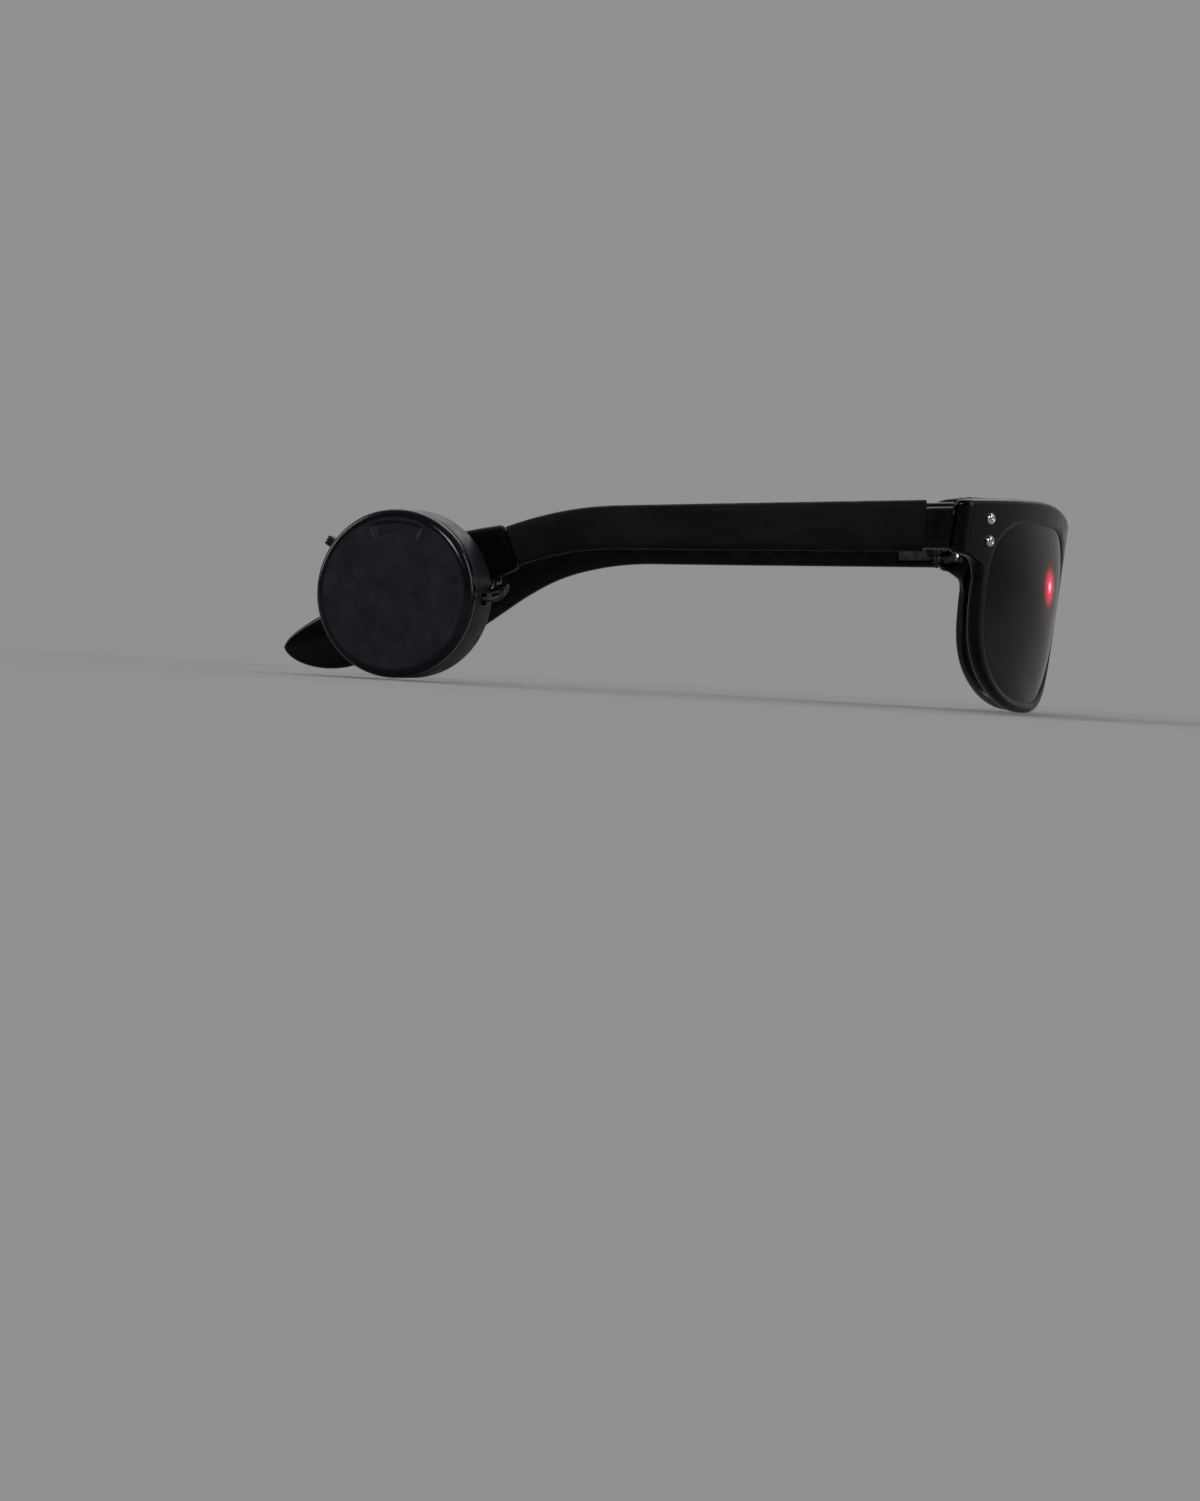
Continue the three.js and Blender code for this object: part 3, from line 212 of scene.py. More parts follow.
DRAWN_SHARE, DRAWN_BESIDE, DRAWN_ACROSS = 0.8, (0.9, 2.6), (-0.2, 2.2)
BAND_NOTCH, BAND_LIP, BAND_RIPPLE = (3.6, 4.6), 0.8, 0.03
CASE_RISE, CASE_FLOOR, CASE_EDGE = 0.4, 1.2, 1.0
PAD, PAD_EASE, PAD_BULGE = (22.0, 7.0, 1.6), 0.3, 0.02
LID_GAP, SKIRT, CUTTER = 0.2, (2.2, 1.7), (0.02, 8, 6)
RECESS_RING, RECESS_SPAN = (12.0, 14.5), (np.radians(65), np.radians(108))
RECESS_SOFT, RECESS_ENDS = 0.35, np.radians(2.2)
SWITCH_ANGLE, SWITCH_SIZE, SWITCH_FLOOR = np.radians(147), (8.4, 3.4, 4.0), 0.6
KNOB, KNOB_TRAVEL, STEM = (2.0, 3.8, 2.6), 2.0, 1.6
RIB_PLACES, RIB_HALF, RIB_LENGTH, RIB_INSET = (-0.66, 0, 0.66), 0.22, 1.2, 0.15
RIB_RISE, RIB_EASE, STEM_EASE = 0.25, 0.2, 0.3
CONTACT = (5.0, 0.3, np.radians(-30))
CELL_RADIUS, CELL_SHIFT = 10.0, 0.36
RESISTOR_ANGLE, RESISTOR_INSET, RESISTOR_LEGS = np.radians(91), 3.6, 16.0
INNER_LEVEL, LEAD_PITCH, LEAD_HOLE = 5.0, 1.3, np.radians(-4)
EYE, EYE_TURN, EYE_DIP, EYE_LENS = (-880.588, 40.010, -36.888), 4.0, 1.0, 120.54

FRONTS, TEMPLES = ("front", "front"), ("temple_right", "temple_left")
SHARP, ROUND_SHARP = 38, 60


def in_millimetres(group):
    """The values of a property group, with its lengths in millimetres."""
    values = {}
    for item in group.bl_rna.properties:
        if item.identifier not in {"rna_type", "name"}:
            value = getattr(group, item.identifier)
            values[item.identifier] = value * 1000 if item.subtype == "DISTANCE" else value
    return values


class Pattern:
    """Formulas that place points on the glasses as worn, in millimetres: the front faces -Y, up is +Z,
    and the wearer's right is -X. set_down() takes them to the frame's metres."""

    def __init__(self, scene):
        for name in GROUPS:
            self.__dict__.update(in_millimetres(getattr(scene, name)))
        self.lens_centre = (self.bridge_width + self.lens_width) / 2
        self.lens_middle = -(self.rim_above + self.lens_height / 2)
        self.corner_start = self.lens_centre + self.lens_width / 2 + self.end_reach
        self.corner_angle = self.corner_start / self.wrap_radius
        self.corner_end = self.corner_start + END_CORNER * (QUARTER - self.corner_angle)
        self.front_end = self.corner_end + END_RETURN
        self.corner_x = (self.wrap_radius - END_CORNER) * np.sin(self.corner_angle)
        self.corner_y = self.wrap_radius - (self.wrap_radius - END_CORNER) * np.cos(self.corner_angle)
        half_width = self.corner_x + END_CORNER
        joint = self.face_point(self.front_end, END_TOP - self.end_height / 2, self.front_thickness / 2)
        self.arm_x = half_width - self.arm_thickness / 2
        self.arm_y, self.arm_z = joint[1] + RUN_GAP, joint[2]
        steps = np.linspace(0, self.arm_length, 1439)
        pitch = self.arm_pitch((steps[1:] + steps[:-1]) / 2)
        run = np.diff(steps)
        self.track = (steps, np.append(0, np.cumsum(run * np.cos(pitch))),
                      np.append(0, -np.cumsum(run * np.sin(pitch))))
        self.rivet_across = self.corner_start - RIVET_FROM_CORNER
        self.hinge = np.array([-(half_width - self.arm_thickness - HINGE_INSET), self.arm_y + HINGE_BEHIND,
                               self.face_point(self.rivet_across, RIVET_LEVEL, 0)[2]])
        self.temple_face = -self.arm_x + self.arm_thickness / 2
        self.lead_room = 2 * SEAT_GAP + 2 * self.lead_radius
        self.lead_depth = self.front_thickness + SEAT_GAP + self.lead_radius
        fold = next(joint for joint in frame["joints"] if joint["name"] == "temple_left_fold")
        lean, upright = np.array(fold["axis"][1:]) / np.hypot(*fold["axis"][1:])
        self.turn = np.array([[1, 0, 0], [0, upright, lean], [0, -lean, upright]])
        self.shift = 1000 * np.array(fold["pos_m"]) - self.turn @ (self.hinge * [-1, 1, 1])
        self.place_case()

    def set_down(self, points):
        """Worn millimetres to the frame's metres: turned about X to rest on a table, and moved."""
        return (np.asarray(points) @ self.turn.T + self.shift) / 1000

    # Front

    def face_point(self, p, q, depth):
        """A cylinder of the wrap radius that turns into an end corner of a small radius and runs straight
        on: p goes along the face from the bridge to the right, q goes up, and depth goes in."""
        p, q, depth = np.broadcast_arrays(*(np.asarray(value, float) for value in (p, q, depth)))
        wrapped = p <= self.corner_start
        radius = np.where(wrapped, self.wrap_radius, END_CORNER)
        past = np.minimum(self.corner_angle + (p - self.corner_start) / END_CORNER, QUARTER)
        turn = np.where(wrapped, p / self.wrap_radius, past)
        x = np.where(wrapped, 0, self.corner_x) + (radius - depth) * np.sin(turn)
        y = np.where(wrapped, self.wrap_radius, self.corner_y) - (radius - depth) * np.cos(turn)
        y = y + np.maximum(p - self.corner_end, 0)
        cos, sin = np.cos(self.front_tilt), np.sin(self.front_tilt)
        return np.stack([-x, y * cos - q * sin + SETBACK, y * sin + q * cos], -1)

    def face_frame(self, p, q, depth):
        """Axes along p, q and depth as columns, and the point they start from."""
        reach = 0.01
        along = self.face_point(p + reach, q, depth) - self.face_point(p - reach, q, depth)
        up = self.face_point(p, q + reach, depth) - self.face_point(p, q - reach, depth)
        along, up = along / np.linalg.norm(along), up / np.linalg.norm(up)
        return np.stack([along, up, np.cross(along, up)], -1), self.face_point(p, q, depth)

    def lens_outline(self, turn, margin):
        """A squared oval that narrows downward, grown by a margin."""
        power = 2 / np.where(np.sin(turn) < 0, self.lens_power_below, self.lens_power)
        across = np.sign(np.cos(turn)) * np.abs(np.cos(turn)) ** power
        up = np.sign(np.sin(turn)) * np.abs(np.sin(turn)) ** power
        narrowing = 1 + self.lens_taper * (up - 1) / 2
        centre = self.lens_centre - self.lens_lean * np.minimum(up, 0) ** 2
        return np.stack([centre + (self.lens_width / 2 + margin) * across * narrowing,
                         self.lens_middle + (self.lens_height / 2 + margin) * up], -1)

    def heading(self, points):
        """Directions of points seen from the lens centre."""
        return np.arctan2(points[:, 1] - self.lens_middle, points[:, 0] - self.lens_centre)

    def outline_toward(self, heading, margin):
        """The lens outline in given directions from the lens centre, by halving."""
        low, high = heading - np.pi / 3, heading + np.pi / 3
        for _ in range(40):
            turn = (low + high) / 2
            off = self.heading(self.lens_outline(turn, margin)) - heading
            ahead = np.arctan2(np.sin(off), np.cos(off)) > 0
            low, high = np.where(ahead, low, turn), np.where(ahead, turn, high)
        return self.lens_outline(low, margin)

    def front_outline(self):
        """Right half of the outline, from the top of the bridge round to its underside: Bezier curves over
        the brow, the end piece and the nose, joined by the lens outline grown to the lower rim. It is
        spaced evenly and softened by a bell-shaped mean, so its corners are round."""
        shoulder_turn, nose_turn = np.arcsin(0.16), -np.pi + 0.05
        shoulder = self.lens_outline(shoulder_turn, self.rim_outside)
        nose = self.lens_outline(nose_turn, self.rim_nose)
        bottom, end_bottom = BRIDGE_TOP - self.bridge_height, END_TOP - self.end_height
        brow, end = self.lens_centre - 2, self.front_end
        turn = np.linspace(shoulder_turn, nose_turn, 400)
        side = np.where(np.cos(turn) > 0, self.rim_outside, self.rim_nose)
        rim = self.lens_outline(turn, self.rim_below + (side - self.rim_below) * np.cos(turn) ** RIM_BLEND)
        path = np.concatenate([
            bezier((0, BRIDGE_TOP), (9, BRIDGE_TOP), (brow - 14, BROW_TOP), (brow, BROW_TOP)),
            bezier((brow, BROW_TOP), (brow + 17, BROW_TOP), (end - 13, END_TOP + 1.2), (end, END_TOP)),
            bezier((end, END_TOP), (end, END_TOP - 3), (end, end_bottom + 3), (end, end_bottom)),
            bezier((end, end_bottom), (end - 4, end_bottom),
                   (shoulder[0] + 0.6, shoulder[1] + END_SHOULDER * 0.7), shoulder),
            rim,
            bezier(nose, (nose[0] - 1, nose[1] + 7), (6.5, bottom), (0, bottom)),
        ])
        step, spread, reach = 0.4, 2.0, 8
        even = evenly(path, step)
        flip = np.array([-1, 1])
        around = np.concatenate([even[reach:0:-1] * flip, even, even[-2:-reach - 2:-1] * flip])
        soft = bell_mean(around, spread, reach)
        soft[[0, -1], 0] = 0
        return soft

    # Arm

    def arm_pitch(self, station):
        """Downward bend, which the lift of the tip takes away again."""
        bend = np.clip((station - BEND[0]) / (BEND[1] - BEND[0]), 0, 1)
        lift = np.clip((station - LIFT_START) / (self.arm_length - LIFT_START), 0, 1)
        return self.bend_angle * (bend - lift)

    def arm_point(self, station, inward, up):
        """A point beside the middle line of the right arm: inward is toward the other arm."""
        along, drop = (np.interp(station, self.track[0], line) for line in self.track[1:])
        along = along + np.minimum(station, 0)
        pitch = self.arm_pitch(station)
        mitre = np.maximum(0, 1 - station / (3 * self.arm_thickness)) * np.tan(self.front_tilt)
        y = along + up * np.sin(pitch) - up * mitre
        curl = np.maximum(y - CURL_START, 0)
        x = -self.arm_x + y * np.tan(self.convergence) + curl ** 2 / (2 * CURL_RADIUS) + inward
        return np.stack(np.broadcast_arrays(x, self.arm_y + y, self.arm_z + drop + up * np.cos(pitch)), -1)

    def tip_share(self, station):
        """Rounded ending: one, falling to nothing at the tip."""
        along = np.clip((station - (self.arm_length - TIP_TAPER)) / TIP_TAPER, 0, 1)
        return (1 - along ** TIP_FULLNESS[0]) ** TIP_FULLNESS[1]

    def arm_height(self, station):
        """Height of the section, softened over a few millimetres."""
        spread = np.linspace(-4, 4, 9)
        near = np.interp(np.add.outer(spread, np.abs(station)), ARM_PLACES, ARM_HEIGHTS)
        return near.mean(0) * self.tip_share(station)

    def arm_width(self, station):
        """Thickness of the section."""
        thin = np.clip(np.asarray(station) / BEND[0], 0, 1)
        thick = self.arm_thickness + (self.arm_waist - self.arm_thickness) * thin
        return thick * (0.25 + 0.75 * self.tip_share(station))

    def lead_across(self, station):
        """Middle of a lead beside the inner face of the arm."""
        return self.arm_width(station) / 2 + SEAT_GAP + self.lead_radius

    # Battery case

    def place_case(self):
        """Axes of the case: X toward the front, Y up and Z out of the lid."""
        station = self.case_station
        along = np.interp(station, *self.track[:2])
        slope = np.arctan(np.tan(self.convergence) + max(along - CURL_START, 0) / CURL_RADIUS)
        out, up = np.array([-np.cos(slope), np.sin(slope), 0]), np.array([0, 0, 1.0])
        self.case_axes = np.stack([np.cross(up, out), up, out], -1)
        back = self.arm_point(station, -self.arm_width(station) / 2, 0)
        self.case_place = back + out * (2 * SEAT_GAP + PAD[2]) + up * CASE_RISE
        self.room = self.case_radius - self.case_wall
        self.lid_base = self.case_depth + LID_GAP
        reach = (SWITCH_SIZE[0] + KNOB_TRAVEL) / 2
        self.switch_ring = np.sqrt((self.room - SEAT_GAP) ** 2 - reach ** 2) - SWITCH_SIZE[1]
        self.switch_level = CASE_FLOOR + SWITCH_FLOOR + SWITCH_SIZE[2] / 2

    def case_point(self, points):
        """Points of the case's own frame to the worn frame."""
        return np.asarray(points, float) @ self.case_axes.T + self.case_place

    def ring_point(self, ring, turn, level):
        """A point at a radius, an angle and a height in the case."""
        return self.case_point([ring * np.cos(turn), ring * np.sin(turn), level])


# Curves and skins, as whole arrays

def bezier(a, b, c, d):
    """Cubic Bezier curve through two ends, without its last point."""
    t = np.linspace(0, 1, 80)[:-1, None]
    a, b, c, d = (np.asarray(corner, float) for corner in (a, b, c, d))
    return a * (1 - t) ** 3 + 3 * b * t * (1 - t) ** 2 + 3 * c * t ** 2 * (1 - t) + d * t ** 3


def evenly(path, step):
    """The same path with points at even distances."""
    gone = np.append(0, np.cumsum(np.linalg.norm(np.diff(path, axis=0), axis=1)))
    places = np.linspace(0, gone[-1], max(8, int(gone[-1] / step)))
    return np.stack([np.interp(places, gone, line) for line in path.T], -1)


def smooth_path(points, step=0.4):
    """Centripetal Catmull-Rom curve: a cubic between each pair of points, whose slopes come from their
    neighbours weighted by the square roots of the distances."""
    p = np.asarray(points, float)
    p = np.concatenate([[2 * p[0] - p[1]], p, [2 * p[-1] - p[-2]]])
    gap = np.sqrt(np.linalg.norm(np.diff(p, axis=0), axis=1))[:, None]
    g0, g1, g2 = gap[:-2], gap[1:-1], gap[2:]
    p0, p1, p2, p3 = p[:-3], p[1:-2], p[2:-1], p[3:]
    m1 = g1 * ((p1 - p0) / g0 - (p2 - p0) / (g0 + g1) + (p2 - p1) / g1)
    m2 = g1 * ((p2 - p1) / g1 - (p3 - p1) / (g1 + g2) + (p3 - p2) / g2)
    t = np.linspace(0, 1, 40, endpoint=False)[:, None, None]
    cubic = p1 + m1 * t + (3 * (p2 - p1) - 2 * m1 - m2) * t ** 2 + (2 * (p1 - p2) + m1 + m2) * t ** 3
    return evenly(np.concatenate([cubic.transpose(1, 0, 2).reshape(-1, 3), p[-2:-1]]), step)


def fill_sides(line, corners, sides):
    """Points added between the corners of a loop whose rows hold four runs of corner points."""
    runs = line.reshape(len(line), 4, corners)
    after = np.roll(runs, -1, 1)[:, :, :1]
    t = np.linspace(0, 1, sides + 2)[1:-1]
    between = runs[:, :, -1:] * (1 - t) + after * t
    return np.concatenate([runs, between], 2).reshape(len(line), -1)


def rounded_section(width, height, corner, crown=0.0):
    """Rounded rectangles, one for each width and height, as places across and up: four quarter circles with
    points between them, and broad sides that bulge by the crown."""
    corners, sides = 9, 8
    quarter = np.repeat(np.arange(4), corners)
    turn = (quarter + np.tile(np.linspace(0, 1, corners), 4)) * QUARTER
    side, level = np.where((quarter == 0) | (quarter == 3), 1, -1), np.where(quarter < 2, 1, -1)
    width, height, crown = (np.reshape(value, (-1, 1)) for value in (width, height, crown))
    radius = np.minimum(corner, np.minimum(width, height) * 0.45)
    across = fill_sides(side * (width / 2 - radius) + radius * np.cos(turn), corners, sides)
    up = fill_sides(level * (height / 2 - radius) + radius * np.sin(turn), corners, sides)
    return across * (1 + crown * (1 - np.minimum(1, (2 * up / height) ** 2))), up


def bell_mean(rows, spread, reach):
    """Mean of neighbours weighted by a bell curve: the rows carry the reach at both ends."""
    bell = np.exp(-0.5 * (np.arange(-reach, reach + 1) / spread) ** 2)
    return np.apply_along_axis(np.convolve, 0, rows, bell / bell.sum(), "valid")


def grid_quads(rows, columns, ring=False):
    """Faces between rows of points whose columns close into loops, as corner numbers."""
    i, j = np.arange(rows if ring else rows - 1)[:, None], np.arange(columns)[None, :]
    near, far, k = i * columns, (i + 1) % rows * columns, (j + 1) % columns
    return np.stack([near + j, far + j, far + k, near + k], -1).reshape(-1, 4)


def skin(grid, ring=False):
    """Closed skin over rows of points: each row is a loop, and the last row joins the first, or both ends
    are closed by fans. The faces are turned outward by the sign of the enclosed volume."""
    rows, columns = grid.shape[:2]
    points = grid.reshape(-1, 3)
    quads, fans = grid_quads(rows, columns, ring), np.zeros((0, 3), int)
    if not ring:
        hub, last = len(points), (rows - 1) * columns
        points = np.concatenate([points, [grid[0].mean(0)], [grid[-1].mean(0)]])
        j = np.arange(columns)
        k = (j + 1) % columns
        fans = np.concatenate([np.stack([np.full(columns, hub), j, k], -1),
                               np.stack([np.full(columns, hub + 1), last + k, last + j], -1)])
    corners = np.concatenate([quads[:, [0, 1, 2]], quads[:, [0, 2, 3]], fans])
    a, b, c = (points[corners[:, n]] for n in range(3))
    if np.einsum("ij,ij->", a, np.cross(b, c)) < 0:
        quads, fans = quads[:, ::-1], fans[:, ::-1]
    return SimpleNamespace(points=points, quads=quads, fans=fans)


def mirrored(shell):
    """The same skin for the wearer's other side."""
    return SimpleNamespace(points=shell.points * [-1, 1, 1], quads=shell.quads[:, ::-1],
                           fans=shell.fans[:, ::-1])


def placed(grid, axes, origin):
    """A grid of points taken along three axes from an origin."""
    return grid @ np.asarray(axes).T + origin


def turned(grid, turn):
    """A grid of points turned about Z."""
    cos, sin = np.cos(turn), np.sin(turn)
    return grid @ np.array([[cos, -sin, 0], [sin, cos, 0], [0, 0, 1]]).T


def spun(profile, columns):
    """Profile of radius and height carried round an axis."""
    radius, height = np.asarray(profile, float).T
    turn = np.linspace(0, 2 * np.pi, columns, endpoint=False)
    return np.stack([np.multiply.outer(radius, np.cos(turn)), np.multiply.outer(radius, np.sin(turn)),
                     np.repeat(height[:, None], columns, 1)], -1)


def arc(centre, radius, start, end, steps=7):
    """Points of a circle in a profile, with angles in degrees."""
    turn = np.radians(np.linspace(start, end, steps))
    return np.stack([centre[0] + radius * np.cos(turn), centre[1] + radius * np.sin(turn)], -1)


def rounded_block(half, radius, columns=32, rows=16):
    """A ball of the edge radius whose eight parts are pushed out to the corners of a box."""
    turn = (np.arange(columns) + 0.5) * 2 * np.pi / columns
    tilt = ((np.arange(rows) + 0.5) / rows - 0.5)[:, None] * np.pi
    normal = np.stack(np.broadcast_arrays(
        np.cos(tilt) * np.cos(turn), np.cos(tilt) * np.sin(turn), np.sin(tilt)), -1)
    return np.sign(normal) * (np.asarray(half) - radius) + normal * radius


def tube(path, radius, columns=14):
    """Circle carried along a path, set out from the fixed direction that the path turns toward least."""
    slope = np.gradient(path, axis=0)
    slope /= np.linalg.norm(slope, axis=1)[:, None]
    n = np.arange(200) + 0.5
    z, turn = 1 - n / 100, np.pi * (1 + 5 ** 0.5) * n
    heads = np.stack([np.sqrt(1 - z * z) * np.cos(turn), np.sqrt(1 - z * z) * np.sin(turn), z], -1)
    head = heads[np.argmin(np.abs(slope @ heads.T).max(0))]
    side = np.cross(slope, head)
    side /= np.linalg.norm(side, axis=1)[:, None]
    up = np.cross(slope, side)
    turn = np.linspace(0, 2 * np.pi, columns, endpoint=False)
    circle = np.cos(turn)[:, None] * side[:, None, :] + np.sin(turn)[:, None] * up[:, None, :]
    return path[:, None, :] + radius * circle


def step_up(value, low, high):
    """Smooth step from nothing to one."""
    t = np.clip((value - low) / (high - low), 0, 1)
    return t * t * (3 - 2 * t)


def window(value, low, high, soft):
    """One between two limits and nothing outside them, with soft ends."""
    return step_up(value, low - soft, low + soft) * (1 - step_up(value, high - soft, high + soft))


# Meshes

def merge_doubles(mesh):
    """Joins the points of a mesh that lie on each other."""
    joined = bmesh.new()
    joined.from_mesh(mesh)
    bmesh.ops.remove_doubles(joined, verts=joined.verts, dist=SAME_PLACE)
    bmesh.ops.dissolve_degenerate(joined, edges=joined.edges, dist=NO_LENGTH)
    joined.to_mesh(mesh)
    joined.free()
    return mesh


def mesh_of(name, shells, pattern):
    """One mesh from skins given in worn millimetres, with its doubles merged."""
    mesh = bpy.data.meshes.new(name)
    faces, first = [], 0
    for shell in shells:
        faces += (shell.quads + first).tolist() + (shell.fans + first).tolist()
        first += len(shell.points)
    points = np.concatenate([shell.points for shell in shells])
    mesh.from_pydata(pattern.set_down(points).tolist(), [], faces)
    return merge_doubles(mesh)


def shape_with(piece, shells, operation, pattern):
    """Joins skins to a piece or cuts them out of it, with the result applied."""
    tools = []
    for shell in shells:
        tool = bpy.data.objects.new("tool", mesh_of("tool", [shell], pattern))
        bpy.context.scene.collection.objects.link(tool)
        step = piece.modifiers.new("tool", "BOOLEAN")
        step.operation, step.solver, step.object = operation, "EXACT", tool
        tools.append(tool)
    bpy.context.view_layer.update()
    made = bpy.data.meshes.new_from_object(piece.evaluated_get(bpy.context.evaluated_depsgraph_get()))
    piece.modifiers.clear()
    piece.data = made
    for tool in tools:
        bpy.data.objects.remove(tool)


def make_piece(pattern, node, shells, finish, body, joins=(), cuts=(), sharp=SHARP):
    """A finished piece in place of a node: skins, joined and cut, shaded smooth up to an angle. It rides on a
    body, unless none is given."""
    name = f"{node}_skin"
    piece = bpy.data.objects.new(name, mesh_of(name, shells, pattern))
    bpy.context.scene.collection.objects.link(piece)
    if joins:
        shape_with(piece, joins, "UNION", pattern)
    if cuts:
        shape_with(piece, cuts, "DIFFERENCE", pattern)
    if not piece.data.polygons:
        raise RuntimeError(f"{name} came out empty")
    piece.data.name = name
    piece.data.materials.clear()
    piece.data.materials.append(finishes(pattern)[finish])
    piece.data.shade_smooth()
    piece.data.set_sharp_from_angle(angle=np.radians(sharp))
    if body:
        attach(piece, body)
    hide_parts(node)
    return piece


def both_sides(pattern, node, shells, finish, bodies=FRONTS, ending="", joins=(), cuts=(), sharp=SHARP):
    """A piece for the right side and its mirror image for the left."""
    for side, body, turn in (("right", bodies[0], lambda shell: shell), ("left", bodies[1], mirrored)):
        skins, joined, cut = ([turn(shell) for shell in group] for group in (shells, joins, cuts))
        make_piece(pattern, f"{node}_{side}{ending}", skins, finish, body, joined, cut, sharp)


def dress(pattern, finish, *nodes):
    """Gives carried-over solids a finish."""
    for name in nodes:
        node = frame["nodes"][name]
        node.data.materials.clear()
        node.data.materials.append(finishes(pattern)[finish])


# Finishes

class Finish:
    """A Principled finish with helpers for its procedural detail."""

    def __init__(self, name, base, roughness, metallic=0.0):
        self.material = bpy.data.materials.new(name)
        self.material.use_nodes = True
        self.nodes, self.links = self.material.node_tree.nodes, self.material.node_tree.links
        self.shader = self.nodes["Principled BSDF"]
        self.set(Roughness=roughness, Metallic=metallic)
        self.shader.inputs["Base Color"].default_value = (*base, 1)
        self.material.diffuse_color = (*base, 1)
        self.place = self.nodes.new("ShaderNodeTexCoord").outputs["Object"]

    def set(self, **values):
        """Constant values on the shader's own sockets."""
        for name, value in values.items():
            self.shader.inputs[name.replace("_", " ")].default_value = value

    def node(self, kind, inputs=None, **settings):
        """A node with its settings, and with links or values on its inputs."""
        made = self.nodes.new(kind)
        for name, value in settings.items():
            setattr(made, name, value)
        for key, value in (inputs or {}).items():
            if isinstance(value, bpy.types.NodeSocket):
                self.links.new(value, made.inputs[key])
            else:
                made.inputs[key].default_value = value
        return made

    def math(self, operation, *values):
        """A number worked out from numbers."""
        return self.node("ShaderNodeMath", dict(enumerate(values)), operation=operation).outputs[0]

    def vector(self, operation, *values, output="Value"):
        """A number or a vector worked out from vectors."""
        return self.node("ShaderNodeVectorMath", dict(enumerate(values)), operation=operation).outputs[output]

    def grain(self, size, detail, stretch=None):
        """Noise with spots of a size in metres, stretched along the axes."""
        place = self.place
        if stretch:
            place = self.node("ShaderNodeMapping", {"Vector": place, "Scale": stretch}).outputs[0]
        values = {"Vector": place, "Scale": 1 / size, "Detail": detail, "Roughness": 0.55}
        return self.node("ShaderNodeTexNoise", values).outputs["Fac"]

    def pits(self, size):
        """Distance from scattered points, for pores."""
        values = {"Vector": self.place, "Scale": 1 / size}
        return self.node("ShaderNodeTexVoronoi", values).outputs["Distance"]

    def spread(self, factor, low, high, start=0.3, end=0.7):
        """A factor mapped to a range."""
        values = {"Value": factor, "From Min": start, "From Max": end, "To Min": low, "To Max": high}
        return self.node("ShaderNodeMapRange", values, interpolation_type="SMOOTHSTEP").outputs[0]

    def blend(self, factor, low, high):
        """A colour between two colours."""
        low, high = (tone if isinstance(tone, bpy.types.NodeSocket) else (*tone, 1) for tone in (low, high))
        return self.node("ShaderNodeMix", {"Factor": factor, 6: low, 7: high}, data_type="RGBA").outputs[2]

    def feed(self, **sockets):
        """Links to the shader's inputs."""
        for name, socket in sockets.items():
            self.links.new(socket, self.shader.inputs[name.replace("_", " ")])

    def vary(self, base, cloud, tones, gloss, polish, dull):
        """A colour that goes between two tones of itself, and a gloss that goes between two values."""
        low, high = (scaled(base, tone) for tone in tones)
        self.feed(Base_Color=self.blend(self.spread(cloud, 0, 1), low, high),
                  Roughness=self.spread(gloss, polish, dull))

    def relief(self, height, depth, strength=1.0):
        """Bump of a depth in metres, laid over the bump that is there."""
        values = {"Height": height, "Distance": depth, "Strength": strength}
        before = self.shader.inputs["Normal"].links
        if before:
            values["Normal"] = before[0].from_socket
        self.feed(Normal=self.node("ShaderNodeBump", values).outputs[0])


def scaled(colour_value, factor):
    """A colour made lighter or darker."""
    return tuple(min(1.0, part * factor) for part in colour_value)


def moulded_finish(name, base, polish, dull, speck=0.00012, mottle=0.004, depth=4e-6):
    """Moulded plastic: a faint mottle, a gloss that varies, fine grain and a few hairline scuffs."""
    made = Finish(name, base, (polish + dull) / 2)
    made.vary(base, made.grain(mottle, 4), (0.7, 1.5), made.grain(mottle * 0.6, 5), polish, dull)
    made.relief(made.grain(speck, 2), depth)
    scuff = made.grain(0.0022, 2, stretch=(1, 9, 0.6))
    made.relief(made.spread(scuff, 0, 1, 0.66, 0.72), depth * 1.2, 0.6)
    return made


def metal_finish(name, base, polish, dull, brushed=(1, 1, 1)):
    """Metal: brushed fine lines, cloudy tarnish and a gloss that varies."""
    made = Finish(name, base, polish, 1.0)
    made.vary(base, made.grain(0.002, 4), (0.72, 1.15), made.grain(0.0012, 4), polish, dull)
    made.relief(made.grain(0.00018, 2, stretch=brushed), 3e-6)
    return made


def rubber_finish(name, base, polish, dull):
    """Shrunk rubber: clouds drawn out along the arm, a dull sheen, fine grain and soft ripples."""
    made = Finish(name, base, (polish + dull) / 2)
    made.set(Specular_IOR_Level=0.04)
    cloud = made.grain(0.005, 4, stretch=(1, 0.35, 1))
    made.vary(base, cloud, (0.75, 1.5), made.grain(0.003, 4), polish, dull)
    made.relief(made.grain(0.00016, 3), 8e-6)
    made.relief(made.grain(0.0016, 3, stretch=(1, 0.25, 1)), 3e-5)
    return made


LOOKS = {}
PURPLE_SHEEN, RIM_POLISH = (0.95, 0.89, 1.0, 1.0), 0.14


